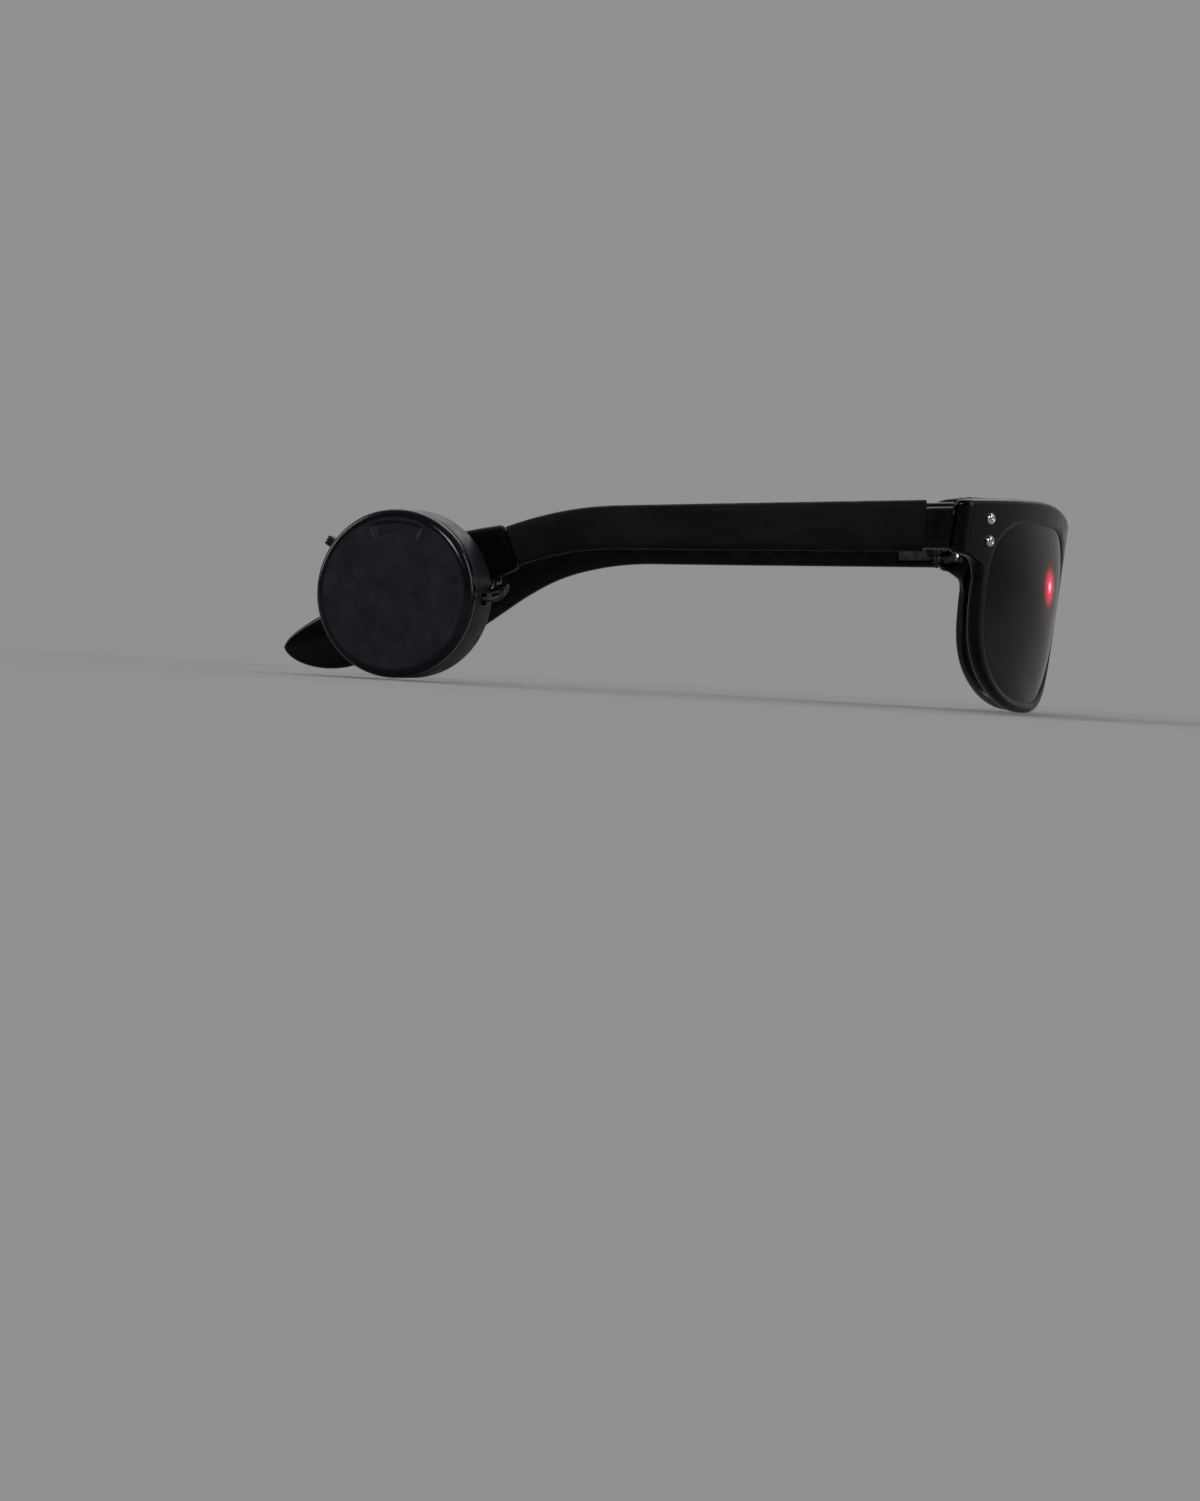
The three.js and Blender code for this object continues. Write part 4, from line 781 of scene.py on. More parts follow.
def finishes(pattern):
    """All finishes by name, made once."""
    if LOOKS:
        return LOOKS
    frame_black = moulded_finish("moulded_black", pattern.frame_black, 0.16, 0.27)
    frame_black.set(Specular_IOR_Level=0.17, Specular_Tint=PURPLE_SHEEN)
    shell = moulded_finish("case_satin", pattern.case_grey, 0.34, 0.48, 0.00022, 0.006, 9e-6)
    shell.set(Specular_IOR_Level=0.25)
    knob = moulded_finish("switch_black", pattern.frame_black, 0.35, 0.5)
    knob.set(Specular_IOR_Level=0.3)

    lamp = Finish("lamp_resin_red", scaled(pattern.lamp_red, 0.7), 0.12)
    lamp.set(Transmission_Weight=0.55, IOR=1.5, Coat_Weight=0.2)
    core = lamp.grain(0.002, 2)
    lamp.feed(Emission_Color=lamp.blend(lamp.spread(core, 0, 1), pattern.lamp_red, (1.0, 0.35, 0.38)))
    lamp.set(Emission_Strength=1.6)
    lamp.feed(Roughness=lamp.spread(lamp.grain(0.0008, 3), 0.08, 0.2))

    glue = Finish("clear_glue", pattern.glue, 0.4)
    glue.set(Transmission_Weight=0.4, Subsurface_Weight=0.2, Subsurface_Radius=(0.002, 0.0015, 0.001))
    haze = glue.grain(0.0015, 4)
    glue.vary(pattern.glue, haze, (0.75, 1), haze, 0.25, 0.55)
    glue.relief(glue.grain(0.0011, 3), 6e-5)

    foam = Finish("pad_foam", pattern.foam, 0.95)
    pores = foam.pits(0.00035)
    # Painted shade: the colour is darker in the middle of each pore, where the bump also sinks it.
    foam.feed(Base_Color=foam.blend(foam.spread(pores, 0, 1, 0.1, 0.6), scaled(pattern.foam, 0.4),
                                    scaled(pattern.foam, 1.8)))
    foam.feed(Roughness=foam.spread(foam.grain(0.001, 2), 0.88, 1.0))
    foam.relief(foam.spread(pores, 0, 1, 0.05, 0.5), 1.2e-4)

    made = [
        frame_black, shell, knob, lamp, glue, foam, lens_finish(pattern), lid_finish(pattern),
        rubber_finish("sleeve_rubber", pattern.sleeve_black, 0.46, 0.64),
        rubber_finish("band_rubber", pattern.band_black, 0.38, 0.55),
        metal_finish("rivet_polish", pattern.rivet_steel, 0.10, 0.22),
        metal_finish("hinge_gunmetal", pattern.hinge_steel, 0.26, 0.42, (1, 1, 4)),
        metal_finish("cell_nickel", pattern.nickel, 0.2, 0.4, (3, 1, 1)),
        moulded_finish("lead_red", pattern.jacket_red, 0.32, 0.5, 0.0001, 0.002, 5e-6),
        moulded_finish("lead_black", pattern.jacket_black, 0.32, 0.5, 0.0001, 0.002, 5e-6),
        moulded_finish("resistor_tan", pattern.resistor, 0.4, 0.6, 0.0002, 0.0015),
    ]
    LOOKS.update((item.material.name, item.material) for item in made)
    return LOOKS


def lid_finish(pattern):
    """Lid: a matte face with blotches and hairline scuffs, inside a rim that is polished by handling and
    darkened by painted shade.
    """
    base = pattern.lid_grey
    made = moulded_finish("lid_matte", base, 0.38, 0.62, 0.00022, 0.0042, 9e-6)
    made.set(Specular_IOR_Level=0.22)
    centre, axis = pattern.set_down(pattern.case_point((0, 0, 0))), pattern.turn @ pattern.case_axes[:, 2]
    off = made.vector("SUBTRACT", made.place, centre, output="Vector")
    reach = made.vector("LENGTH", made.vector("CROSS_PRODUCT", off, axis, output="Vector"))
    edge = (pattern.case_radius - pattern.lid_edge) / 1000
    rim = made.spread(reach, 0, 1, edge - 0.0004, edge + 0.0003)
    matte = made.shader.inputs["Roughness"].links[0].from_socket
    mixed = made.node("ShaderNodeMix", {"Factor": rim, 2: matte, 3: RIM_POLISH}, data_type="FLOAT")
    made.feed(Roughness=mixed.outputs[0])
    # Painted shade: the rim's colour is darkened, on top of its polish.
    worn = made.shader.inputs["Base Color"].links[0].from_socket
    made.feed(Base_Color=made.blend(rim, worn, scaled(base, 0.45)))
    return made


def lens_finish(pattern):
    """Lens: a dark tint with a painted reflection that makes it paler downward, a painted glow round the lamp
    behind it, and faint smears.
    """
    base = pattern.lens_tint
    made = Finish("smoked_lens", base, 0.07)
    made.set(IOR=1.5, Transmission_Weight=0.1, Specular_IOR_Level=0.2, Specular_Tint=PURPLE_SHEEN)
    height = made.node("ShaderNodeSeparateXYZ", {"Vector": made.place}).outputs["Z"]
    # Painted reflection: the base colour gets lighter toward the bottom of the lens.
    painted_reflection_fade = made.spread(height, 0, 1, 0.030, 0.004)
    mixed = made.math("ADD", painted_reflection_fade, made.spread(made.grain(0.012, 3), -0.15, 0.15))
    made.feed(Base_Color=made.blend(mixed, scaled(base, 0.4), scaled(base, 6)))
    made.feed(Roughness=made.spread(made.grain(0.006, 4), 0.04, 0.13))
    made.relief(made.grain(0.009, 2), 2e-5)
    # Painted glow: emission on the lens round the lamp behind it, standing in for the lamp's light seen
    # through the lens.
    axes, start = pattern.face_frame(LAMP_ACROSS, LAMP_LEVEL, 0)
    away = made.vector("DISTANCE", made.place, pattern.set_down(start - axes[:, 2] * 1.2))
    core = made.spread(away, 1, 0, 0.0002, 0.0017)
    halo = made.spread(away, 1, 0, 0.0012, 0.0050)
    haze = made.spread(away, 0.05, 0, 0.001, 0.009)
    glow = made.math("MULTIPLY_ADD", halo, 0.75, made.math("MULTIPLY_ADD", core, 1.5, haze))
    speckle = made.spread(made.grain(0.0008, 3), 0.7, 1.2)
    made.feed(Emission_Strength=made.math("MULTIPLY", glow, speckle))
    made.feed(Emission_Color=made.blend(core, pattern.lamp_red, (1.0, 0.32, 0.55)))
    return made


def paper_finish(base):
    """Backdrop paper: shaded near the object and even further away. Reflections see it fall into shade on
    the side of the camera, as in a room that is lit from the other side."""
    made = Finish("floor_paper", base, 0.9)
    made.feed(Roughness=made.spread(made.grain(0.2, 3), 0.85, 0.95))
    away = made.vector("LENGTH", made.place)
    rays = made.node("ShaderNodeLightPath").outputs
    direct = made.math("MAXIMUM", rays["Is Camera Ray"], rays["Is Glossy Ray"])
    seen = made.math("MAXIMUM", direct, rays["Is Transmission Ray"])
    side = made.vector("DOT_PRODUCT", made.place, (1.0, -0.35, 0.0))
    shaded = made.blend(made.spread(side, 0, 1, -2.6, 2.6), scaled(base, 0.14), base)
    mirrored_share = made.math("MULTIPLY", made.spread(away, 0, 1, 1.0, 2.2), rays["Is Glossy Ray"])
    tone = made.blend(mirrored_share, base, shaded)
    share_seen = made.math("MULTIPLY", seen, made.spread(away, 0, 1, 0.2, 0.6))
    even = made.node("ShaderNodeEmission", {"Color": tone, "Strength": 1.0}).outputs[0]
    mixed = made.node("ShaderNodeMixShader", {0: share_seen, 1: made.shader.outputs[0], 2: even}).outputs[0]
    made.links.new(mixed, made.nodes["Material Output"].inputs["Surface"])
    return made.material


# Pieces

def front_half(pattern):
    """Right half of the front: a rim section of bevel, face, rounded edges, back and lens groove, carried
    round the outline. The lens side is met in directions that only ever turn one way, softened by a
    bell-shaped mean. Faces on the middle plane are left out, so the two halves merge."""
    outer = pattern.front_outline()
    ahead = np.gradient(outer, axis=0)
    outward = np.stack([-ahead[:, 1], ahead[:, 0]], -1) / np.linalg.norm(ahead, axis=1)[:, None]
    outward[0], outward[-1] = (0, 1), (0, -1)
    edge, back_edge = pattern.edge_round, pattern.back_round
    margin = max(edge, back_edge)
    level = np.linspace(outer[-1, 1] + margin, outer[0, 1] - margin, 24)
    points = np.concatenate([outer, np.stack([level * 0, level], -1)])
    outward = np.concatenate([outward, np.zeros((len(level), 2))])
    thin = step_up(-points[:, 1:], -RIM_THINNING[0], -RIM_THINNING[1])
    back = pattern.front_thickness + (pattern.rim_thickness - pattern.front_thickness) * thin
    heading = np.unwrap(pattern.heading(points))
    first, last = np.minimum.accumulate(heading), np.maximum.accumulate(heading[::-1])[::-1]
    around, spread, reach = (first + last) / 2, 8, 24
    around = np.concatenate([around[-reach:] + 2 * np.pi, around, around[:reach] - 2 * np.pi])
    heading = bell_mean(around, spread, reach)
    inner, bevel, back_lip, groove = (
        pattern.outline_toward(heading, grown)
        for grown in (0, pattern.lens_bevel, BACK_LIP, LENS_SEAT + SEAT_GAP))
    turn = np.linspace(0, QUARTER, 8)
    across, slope = np.linspace(0, 1, 14), np.linspace(0, 1, 7)[:-1]
    inset, rear = points - outward * edge, points - outward * back_edge
    groove_back = LIP + LENS_THICKNESS + 2 * SEAT_GAP

    def span(a, b, shares):
        return a[:, None] + (b - a)[:, None] * np.asarray(shares)[None, :, None]

    parts = [
        (span(inner, bevel, [0]), LIP),
        (span(inner, bevel, slope), BEVEL_DEPTH * (1 - slope) ** 1.6),
        (span(bevel, inset, across), across * 0),
        (span(inset, points, np.sin(turn[1:])), edge * (1 - np.cos(turn[1:]))),
        (span(points, rear, 1 - np.cos(turn)), back - back_edge * (1 - np.sin(turn))),
        (span(rear, back_lip, across[1:]), back + across[1:] * 0),
        (span(inner, inner, [0]), back - BACK_LIP),
        (span(inner, groove, [0, 1]), groove_back),
        (span(groove, groove, [0]), LIP),
    ]
    place = np.concatenate([part for part, _ in parts], 1)
    depth = np.concatenate([np.broadcast_to(deep, part.shape[:2]) for part, deep in parts], 1)
    shell = skin(pattern.face_point(place[..., 0], place[..., 1], depth), ring=True)
    flat = (np.abs(shell.points[:, 0]) < 1e-9)[shell.quads].all(1)
    shell.quads = shell.quads[~flat]
    return shell


def ellipsoid(size, columns=48, rows=32):
    """A ball stretched along its axes."""
    turn = np.linspace(0, np.pi, rows)
    return spun(np.stack([np.sin(turn), -np.cos(turn)], -1), columns) * size


def rest_skin(pattern):
    """Nose rest: a ball stretched along its axes, whose middle line follows the nose side of the outline."""
    side, level = pattern.front_outline().T
    nose = (side < pattern.lens_centre) & (level > REST_SPAN[0]) & (level < REST_SPAN[1])
    order = np.argsort(level[nose])
    nose_level, nose_side = level[nose][order], side[nose][order]
    across, up, back = np.moveaxis(ellipsoid(REST_SIZE), -1, 0)
    level = REST_LEVEL + up
    middle = np.interp(level, nose_level, nose_side) + REST_INSET
    return skin(pattern.face_point(middle + across, level, pattern.front_thickness + back))


def lens_skin(pattern):
    """Lens: rings from the front centre over the edge to the back centre, whose depth follows a bowl."""
    turn = np.linspace(0, 2 * np.pi, 160, endpoint=False)
    outline = pattern.lens_outline(turn, LENS_SEAT)
    middle = np.array([pattern.lens_centre, pattern.lens_middle])
    shares = np.linspace(0, 1, 30)
    shares = np.concatenate([shares, shares[::-1]])
    offset = np.repeat([0, LENS_THICKNESS], 30)
    place = middle + (outline - middle) * shares[:, None, None]
    depth = LIP + SEAT_GAP + offset - pattern.lens_bulge * (1 - shares ** 2)
    return skin(pattern.face_point(place[..., 0], place[..., 1], depth[:, None]))


def lamp_tip(pattern):
    """Depth of the tip of the lamp, a small gap behind the back of the lens."""
    place, middle = np.array([LAMP_ACROSS, LAMP_LEVEL]), np.array([pattern.lens_centre, pattern.lens_middle])
    edge = pattern.outline_toward(pattern.heading(place[None]), LENS_SEAT)[0]
    gone = np.linalg.norm(place - middle) / np.linalg.norm(edge - middle)
    return LIP + SEAT_GAP + LENS_THICKNESS - pattern.lens_bulge * (1 - gone ** 2) + 2 * SEAT_GAP


def upright(pattern, profile, columns=40):
    """Profile spun about the hinge pin of the right side."""
    return skin(spun(profile, columns) + pattern.hinge)


def barrel_profile(radius, bottom, top, ease=0.18):
    """Cylinder with eased edges."""
    return np.concatenate([[[0, bottom]], arc((radius - ease, bottom + ease), ease, -90, 0, 5),
                           arc((radius - ease, top - ease), ease, 0, 90, 5), [[0, top]]])


def bar(start, end, half_width, bottom, top, ease=0.15):
    """Upright rounded bar between two plan points."""
    run = np.append(np.asarray(end)[:2] - np.asarray(start)[:2], 0)
    size = np.linalg.norm(run)
    along = run / size
    axes = np.stack([along, np.cross((0, 0, 1), along), (0, 0, 1)], -1)
    middle = np.append((np.asarray(start)[:2] + np.asarray(end)[:2]) / 2, (bottom + top) / 2)
    return skin(placed(rounded_block((size / 2, half_width, (top - bottom) / 2), ease), axes, middle))


def sleeve_skin(pattern, start, end, wall, flare, lip, ripple):
    """Sleeve: outer and inner rounded rectangles along the arm, joined at both ends. Its ends are rounded
    over a lip and it ripples a little. One without a flare closes in on its inner side, above and below
    the leads."""
    near = lip * (1 - np.cos(np.linspace(0, QUARTER, 6)))
    between = np.linspace(start + lip, end - lip, int((end - start) / SLEEVE_STEP))[1:-1]
    station = np.concatenate([start + near, between, end - near[::-1]])
    inside = np.minimum(station - start, end - station)
    eased = np.sqrt(np.clip(1 - (1 - np.minimum(inside / lip, 1)) ** 2, 0, 1))
    grown = flare * (station - start) / (end - start)
    shift, s = (pattern.lead_room - SLEEVE_GAP) / 2, station[:, None]
    parts = []
    for thick in (wall * (0.35 + 0.65 * eased), 0.0 * station):
        width = pattern.arm_width(station) + SLEEVE_GAP + pattern.lead_room + 2 * thick
        height = pattern.arm_height(station) + 2 * (SLEEVE_GAP + thick) + grown
        across, up = rounded_section(width, height, pattern.arm_corner + wall)
        up = up + grown[:, None] / 2
        wave = np.sin(s * 0.83 + 1.3 * np.sin(s * 0.21) + up * 0.35) + 0.6 * np.sin(s * 2.3 - up * 0.9)
        swell = ripple * wave * np.sign(across) * (thick > 0)[:, None]
        if not flare:
            beside = np.maximum(LEAD_HEIGHTS[0] - up, up - LEAD_HEIGHTS[1])
            drawn = step_up(beside, *DRAWN_BESIDE) * step_up(across, *DRAWN_ACROSS)
            across = across - pattern.lead_room * DRAWN_SHARE * drawn
        parts.append(pattern.arm_point(s, shift + across + swell, up))
    return skin(np.concatenate([parts[0], parts[1][::-1]]), ring=True)


def front_lead_path(pattern, side, level):
    """From a leg's end up to the top rim and along it to the hinge."""
    depth, start = pattern.lead_depth, LAMP_LEVEL + LEG_UP + SEAT_GAP
    leg = lamp_tip(pattern) + pattern.lamp_length + SEAT_GAP + LEG_BACK - LEG / 2
    across, cross = LAMP_ACROSS + side * LEG_SPREAD, pattern.rivet_across + 1.3
    centre, width = pattern.lens_centre, pattern.lens_width
    route = np.array([
        (across, start, leg), (across + side * 0.3, start + 2, leg - 0.3),
        (across + 1.5, level - 3.2, depth + 3), (across + 4.5, level - 0.6, depth + 0.5),
        (centre + 0.18 * width, level, depth), (centre + 0.36 * width, level - 0.3, depth),
        (cross - 4, level - 0.8, depth), (cross, level - 1.1, depth),
    ])
    return smooth_path(pattern.face_point(*route.T))


def hinge_lead_path(pattern, level, height):
    """From the front over the hinge to the sleeve."""
    start = pattern.face_point(pattern.rivet_across + 1.6, level - 1.1, pattern.lead_depth)
    station = pattern.sleeve_start
    end = pattern.arm_point(station - SEAT_GAP, pattern.lead_across(station), height)
    drop = start[2] - end[2]
    x, y, _ = pattern.hinge
    return smooth_path([
        start, (x + 0.8, y - 1.9, start[2] - 0.1 * drop), (x - 0.6, y + 1, start[2] - 0.25 * drop),
        (end[0], y + 3.4, start[2] - 0.65 * drop), end,
    ], 0.25)


def temple_lead_path(pattern, positive):
    """Along the arm under the sleeve, out under the rear band and into the case."""
    height = LEAD_HEIGHTS[0 if positive else 1]
    count = round((pattern.sleeve_end - 3 - pattern.sleeve_start) / 16) + 1
    station = np.linspace(pattern.sleeve_start, pattern.sleeve_end - 3, count)
    along = pattern.arm_point(station, pattern.lead_across(station), height)
    out = pattern.sleeve_end + SEAT_GAP + BAND_NOTCH[0] + (0.7 if positive else 2.7)
    across = pattern.lead_across(out)
    under = np.interp(out, ARM_PLACES, ARM_HEIGHTS) / 2 + SLEEVE_GAP + pattern.band_wall + SEAT_GAP
    under += pattern.lead_radius
    leaving = np.array([
        (out - 3, across, -0.5), (out - 0.4, across, -2.8), (out + 0.7, across - 0.3, -under + 0.9),
        (out + 1.3, across - 1.8, -under - 0.3), (out + 1.6, -pattern.arm_waist / 2, -under - 0.8),
    ])
    leaving = pattern.arm_point(*leaving.T)
    radius, room, hole, turn = pattern.case_radius, pattern.room, LEAD_HOLE, np.radians
    level = INNER_LEVEL + LEAD_PITCH / 2 * (1 if positive else -1)
    if positive:
        shift = CELL_SHIFT * (radius - CELL_RADIUS)
        ring = shift * np.cos(SWITCH_ANGLE + np.pi - CONTACT[2]) + CELL_RADIUS + SEAT_GAP
        edge = CONTACT[2] + np.arctan2(CONTACT[0] / 2, ring)
        loop = [(radius + 3.6, 1.4, 1.6), (radius + 3.8, -0.4, 4.4)]
        inside = [(radius + 1.8, hole, level), (room, hole, level), (room - 0.9, hole - turn(3), level),
                  (room - 1.5, hole - turn(8), level), (ring + CONTACT[1] / 2, edge + turn(2), level)]
    else:
        mid = room - RESISTOR_INSET
        end = RESISTOR_ANGLE - np.arctan2(RESISTOR_LEGS / 2, mid)
        ring = room - 1.6
        loop = [(radius + 2.2, 0.6, 1), (radius + 2.5, -0.9, 3.2)]
        inside = [(radius + 1.5, hole, level), (room, hole, level), (room - 1, hole + turn(3), level),
                  (ring, hole + turn(10), level), (ring, hole + turn(30), level),
                  (ring, end - turn(14), INNER_LEVEL - 0.2),
                  (np.hypot(mid, RESISTOR_LEGS / 2), end - turn(2.5), INNER_LEVEL)]
    loop = [pattern.case_point(point) for point in loop]
    inside = [pattern.ring_point(*point) for point in inside]
    return smooth_path(np.concatenate([along, leaving, loop, inside]), 0.35)


def case_block(pattern, low, high, turn, ease=None):
    """A block in the case, turned about its axis: a rounded one where an ease is given, or a plain cutter."""
    low, high = np.asarray(low, float), np.asarray(high, float)
    half = (high - low) / 2
    grid = rounded_block(half, ease) if ease else rounded_block(half, *CUTTER)
    return skin(pattern.case_point(turned(grid + (low + high) / 2, turn)))


def case_body_skin(pattern):
    """Cup: floor, rounded foot, wall with an eased rim, and the room inside."""
    r, room, h = pattern.case_radius, pattern.room, pattern.case_depth
    profile = np.concatenate([
        [[0, 0]], arc((r - CASE_EDGE, CASE_EDGE), CASE_EDGE, -90, 0, 9),
        [[r, h - 0.35]], arc((r - 0.35, h - 0.35), 0.35, 0, 90, 5)[1:],
        arc((room + 0.2, h - 0.2), 0.2, 90, 180, 4), [[room, CASE_FLOOR + 0.4]],
        arc((room - 0.4, CASE_FLOOR + 0.4), 0.4, 0, -90, 5), [[0, CASE_FLOOR]],
    ])
    return skin(pattern.case_point(spun(profile, 160)))


def lid_skin(pattern):
    """Lid: a disc with a rounded rim and a skirt below. Its flat top goes down by a smooth step inside an arc
    between two radii and two angles, where its rings are closer."""
    r, base = pattern.case_radius, pattern.lid_base
    top, edge = base + pattern.lid_height, pattern.lid_edge
    outer = pattern.room - RUN_GAP
    inner = outer - SKIRT[1]
    near, far = RECESS_RING[0] - 0.5, RECESS_RING[1] + 0.7
    radii = np.concatenate([np.linspace(0, near - 0.1, 16), np.linspace(near, far, 38)])
    profile = np.concatenate([
        np.stack([radii, radii * 0 + top], -1), arc((r - edge, top - edge), edge, 88, 0, 16),
        arc((r - 0.25, base + 0.25), 0.25, 0, -90, 4), [[outer, base], [outer, base - SKIRT[0] + 0.2]],
        [[outer - 0.2, base - SKIRT[0]], [inner, base - SKIRT[0]], [inner, base], [0, base]],
    ])
    grid = spun(profile, 320)
    radius = np.hypot(grid[..., 0], grid[..., 1])
    turn = np.arctan2(grid[..., 1], grid[..., 0])
    recess = window(radius, *RECESS_RING, RECESS_SOFT) * window(turn, *RECESS_SPAN, RECESS_ENDS)
    on_top = np.arange(len(profile))[:, None] < len(radii)
    grid[..., 2] -= np.where(on_top, recess * pattern.recess_depth, 0)
    return skin(pattern.case_point(grid))


# Operators

class SUNGLASSES_OT_front(bpy.types.Operator):
    """Make the moulded front frame with its nose rests"""
    bl_idname = "sunglasses.front"
    bl_label = "Front frame"

    def execute(self, context):
        p = Pattern(context.scene)
        half, rest = front_half(p), rest_skin(p)
        make_piece(p, "front_frame", [half, mirrored(half)], "moulded_black", "front",
                   joins=[rest, mirrored(rest)])
        return {"FINISHED"}


class SUNGLASSES_OT_lenses(bpy.types.Operator):
    """Make both tinted lenses"""
    bl_idname = "sunglasses.lenses"
    bl_label = "Lenses"

    def execute(self, context):
        p = Pattern(context.scene)
        both_sides(p, "lens", [lens_skin(p)], "smoked_lens")
        return {"FINISHED"}


class SUNGLASSES_OT_hinges(bpy.types.Operator):
    """Make the rivets, the hinge leaves and the hinge screws of both sides"""
    bl_idname = "sunglasses.hinges"
    bl_label = "Hinges"

    def execute(self, context):
        p = Pattern(context.scene)
        steel = "hinge_gunmetal"
        tail = p.front_thickness + SEAT_GAP + LEAF_THICKNESS
        dome = np.array([(0, -0.22), (0.20, -0.24), (0.28, -0.5), (0.34, -0.86), (0.48, -1), (0.66, -0.98),
                         (0.82, -0.82), (0.94, -0.5), (1, -0.15), (1, 0)]) * RIVET_HEAD
        profile = np.concatenate([dome, [(RIVET, 0.02), (RIVET, tail)], [(0, tail + 0.2)]])
        for side, ending in ((1, "_upper"), (-1, "_lower")):
            axes, start = p.face_frame(p.rivet_across + side * RIVET_LEAN,
                                       RIVET_LEVEL + side * RIVET_SPACING / 2, 0)
            rivet = skin(placed(spun(profile, 40), axes, start))
            both_sides(p, "rivet", [rivet], "rivet_polish", ending=ending, sharp=ROUND_SHARP)

        z, half, reach = p.hinge[2], MIDDLE_BARREL / 2, LEAF_SIZE[0] / 2
        low, high = half + RUN_GAP, half + RUN_GAP + OUTER_BARREL
        middle = p.front_thickness + SEAT_GAP + LEAF_THICKNESS / 2
        plate = rounded_block((reach, LEAF_SIZE[1] / 2, LEAF_THICKNESS / 2), LEAF_EASE)
        plate = skin(placed(plate, *p.face_frame(p.rivet_across, RIVET_LEVEL, middle)))
        parts = []
        for bottom, top in ((low, high), (-high, -low)):
            foot = p.face_point(p.rivet_across + reach - WEB, RIVET_LEVEL + bottom, middle)
            parts.append(bar(foot, p.hinge, WEB / 2, z + bottom, z + top))
            parts.append(upright(p, barrel_profile(BARREL, bottom, top)))
        both_sides(p, "hinge_front_leaf", [plate], steel, joins=parts)

        start = p.arm_y + BARREL
        size = np.array([LEAF_THICKNESS, *TEMPLE_LEAF]) / 2
        leaf = skin(rounded_block(size, LEAF_EASE) + (p.temple_face - size[0], start + size[1], z))
        foot = (p.temple_face - LEAF_THICKNESS / 2, start + WEB)
        parts = [bar(foot, p.hinge, WEB / 2, z - half, z + half),
                 upright(p, barrel_profile(BARREL, -half, half))]
        both_sides(p, "hinge_temple_leaf", [leaf], steel, TEMPLES, joins=parts)

        radius, tall = PIN_HEAD
        under, ease = -high - RUN_GAP, 0.35
        profile = np.concatenate([
            [(0, under - tall)], arc((radius - ease, under - tall + ease), ease, -90, 0, 7),
            [(radius, under), (PIN, under), (PIN, high + 0.05), (0, high + 0.15)],
        ])
        slit = skin(rounded_block((radius * 1.5, *SLIT), *CUTTER) + p.hinge + (0, 0, under - tall))
        both_sides(p, "hinge_screw", [upright(p, profile)], steel, cuts=[slit])
        return {"FINISHED"}


class SUNGLASSES_OT_temples(bpy.types.Operator):
    """Make both temple arms with the pockets for their hinge leaves"""
    bl_idname = "sunglasses.temples"
    bl_label = "Temple arms"

    def execute(self, context):
        p = Pattern(context.scene)
        tip = p.arm_length - TIP_TAPER
        station = np.concatenate([
            ARM_START + ARM_EASE * np.linspace(0, 1, 8) ** 2, np.linspace(0.3, tip, 200),
            tip + TIP_TAPER * np.sin(np.linspace(0, QUARTER, 60)[1:]),
        ])
        near = np.clip((station - ARM_START) / ARM_EASE, 0, 1)
        ease = ARM_EASE * (1 - np.sqrt(1 - (1 - near) ** 2))
        round_tip = step_up(station, tip - 8, tip + 6)
        width = (p.arm_width(station) - 2 * ease) * (1 - TIP_THINNING * round_tip)
        blunt = np.maximum(p.tip_share(station), 1e-9) ** -TIP_BLUNTNESS
        height = np.maximum(p.arm_height(station) * blunt - 2 * ease, TIP_EDGE)
        across, up = rounded_section(width, height, p.arm_corner, ARM_CROWN + TIP_CROWN * round_tip)
        arm = skin(p.arm_point(station[:, None], across, up))
        start, half = p.arm_y + BARREL, TEMPLE_LEAF[1] / 2 + SEAT_GAP
        face, z = p.temple_face, p.hinge[2]
        low = np.array([face - LEAF_THICKNESS - SEAT_GAP, start - SEAT_GAP, z - half])
        high = np.array([face + p.arm_thickness, start + TEMPLE_LEAF[0] + SEAT_GAP, z + half])
        pocket = skin(rounded_block((high - low) / 2, POCKET_EASE) + (low + high) / 2)
        both_sides(p, "temple_arm", [arm], "moulded_black", TEMPLES, cuts=[pocket])
        return {"FINISHED"}


class SUNGLASSES_OT_lamp(bpy.types.Operator):
    """Make the lamp and the glue round it, and finish its legs"""
    bl_idname = "sunglasses.lamp"
    bl_label = "Lamp"

    def execute(self, context):
        p = Pattern(context.scene)
        axes, start = p.face_frame(LAMP_ACROSS, LAMP_LEVEL, lamp_tip(p))
        radius, (flange, thick), ease = p.lamp_radius, LAMP_FLANGE, 0.15
        shoulder = p.lamp_length - thick
        profile = np.concatenate([
            arc((0, radius), radius, -90, 0, 20), [(radius, shoulder)],
            arc((flange - ease, shoulder + ease), ease, -90, 0, 4),
            [(flange, p.lamp_length), (0, p.lamp_length)],
        ])
        grid = spun(profile, 72)
        grid[..., 0] = np.minimum(grid[..., 0], flange * FLANGE_FLAT)
        make_piece(p, "led_lamp", [skin(placed(grid, axes, start))], "lamp_resin_red", "front")

        hole, wide, tall = radius + SEAT_GAP, p.collar_radius, p.collar_height
        rise = np.linspace(0, 1, 14)
        slope = np.stack([wide + (hole + 0.25 - wide) * rise, tall * rise ** 1.6], -1)
        grid = spun(np.concatenate([[(hole, 0), (wide - 0.1, 0)], slope, [(hole, tall * 0.98)]]), 96)
        turn = np.arctan2(grid[..., 1], grid[..., 0])
        reach = np.hypot(grid[..., 0], grid[..., 1])
        wave = 1.2 + np.sin(3 * turn + 0.7) + 0.6 * np.sin(7 * turn)
        grid[..., :2] *= (1 - GLUE_WAVE * step_up(reach, hole, wide) * wave)[..., None]
        collar = skin(placed(grid, axes, start), ring=True)
        make_piece(p, "led_collar", [collar], "clear_glue", "front", sharp=ROUND_SHARP)
        dress(p, "cell_nickel", "led_anode_leg", "led_cathode_leg")
        return {"FINISHED"}


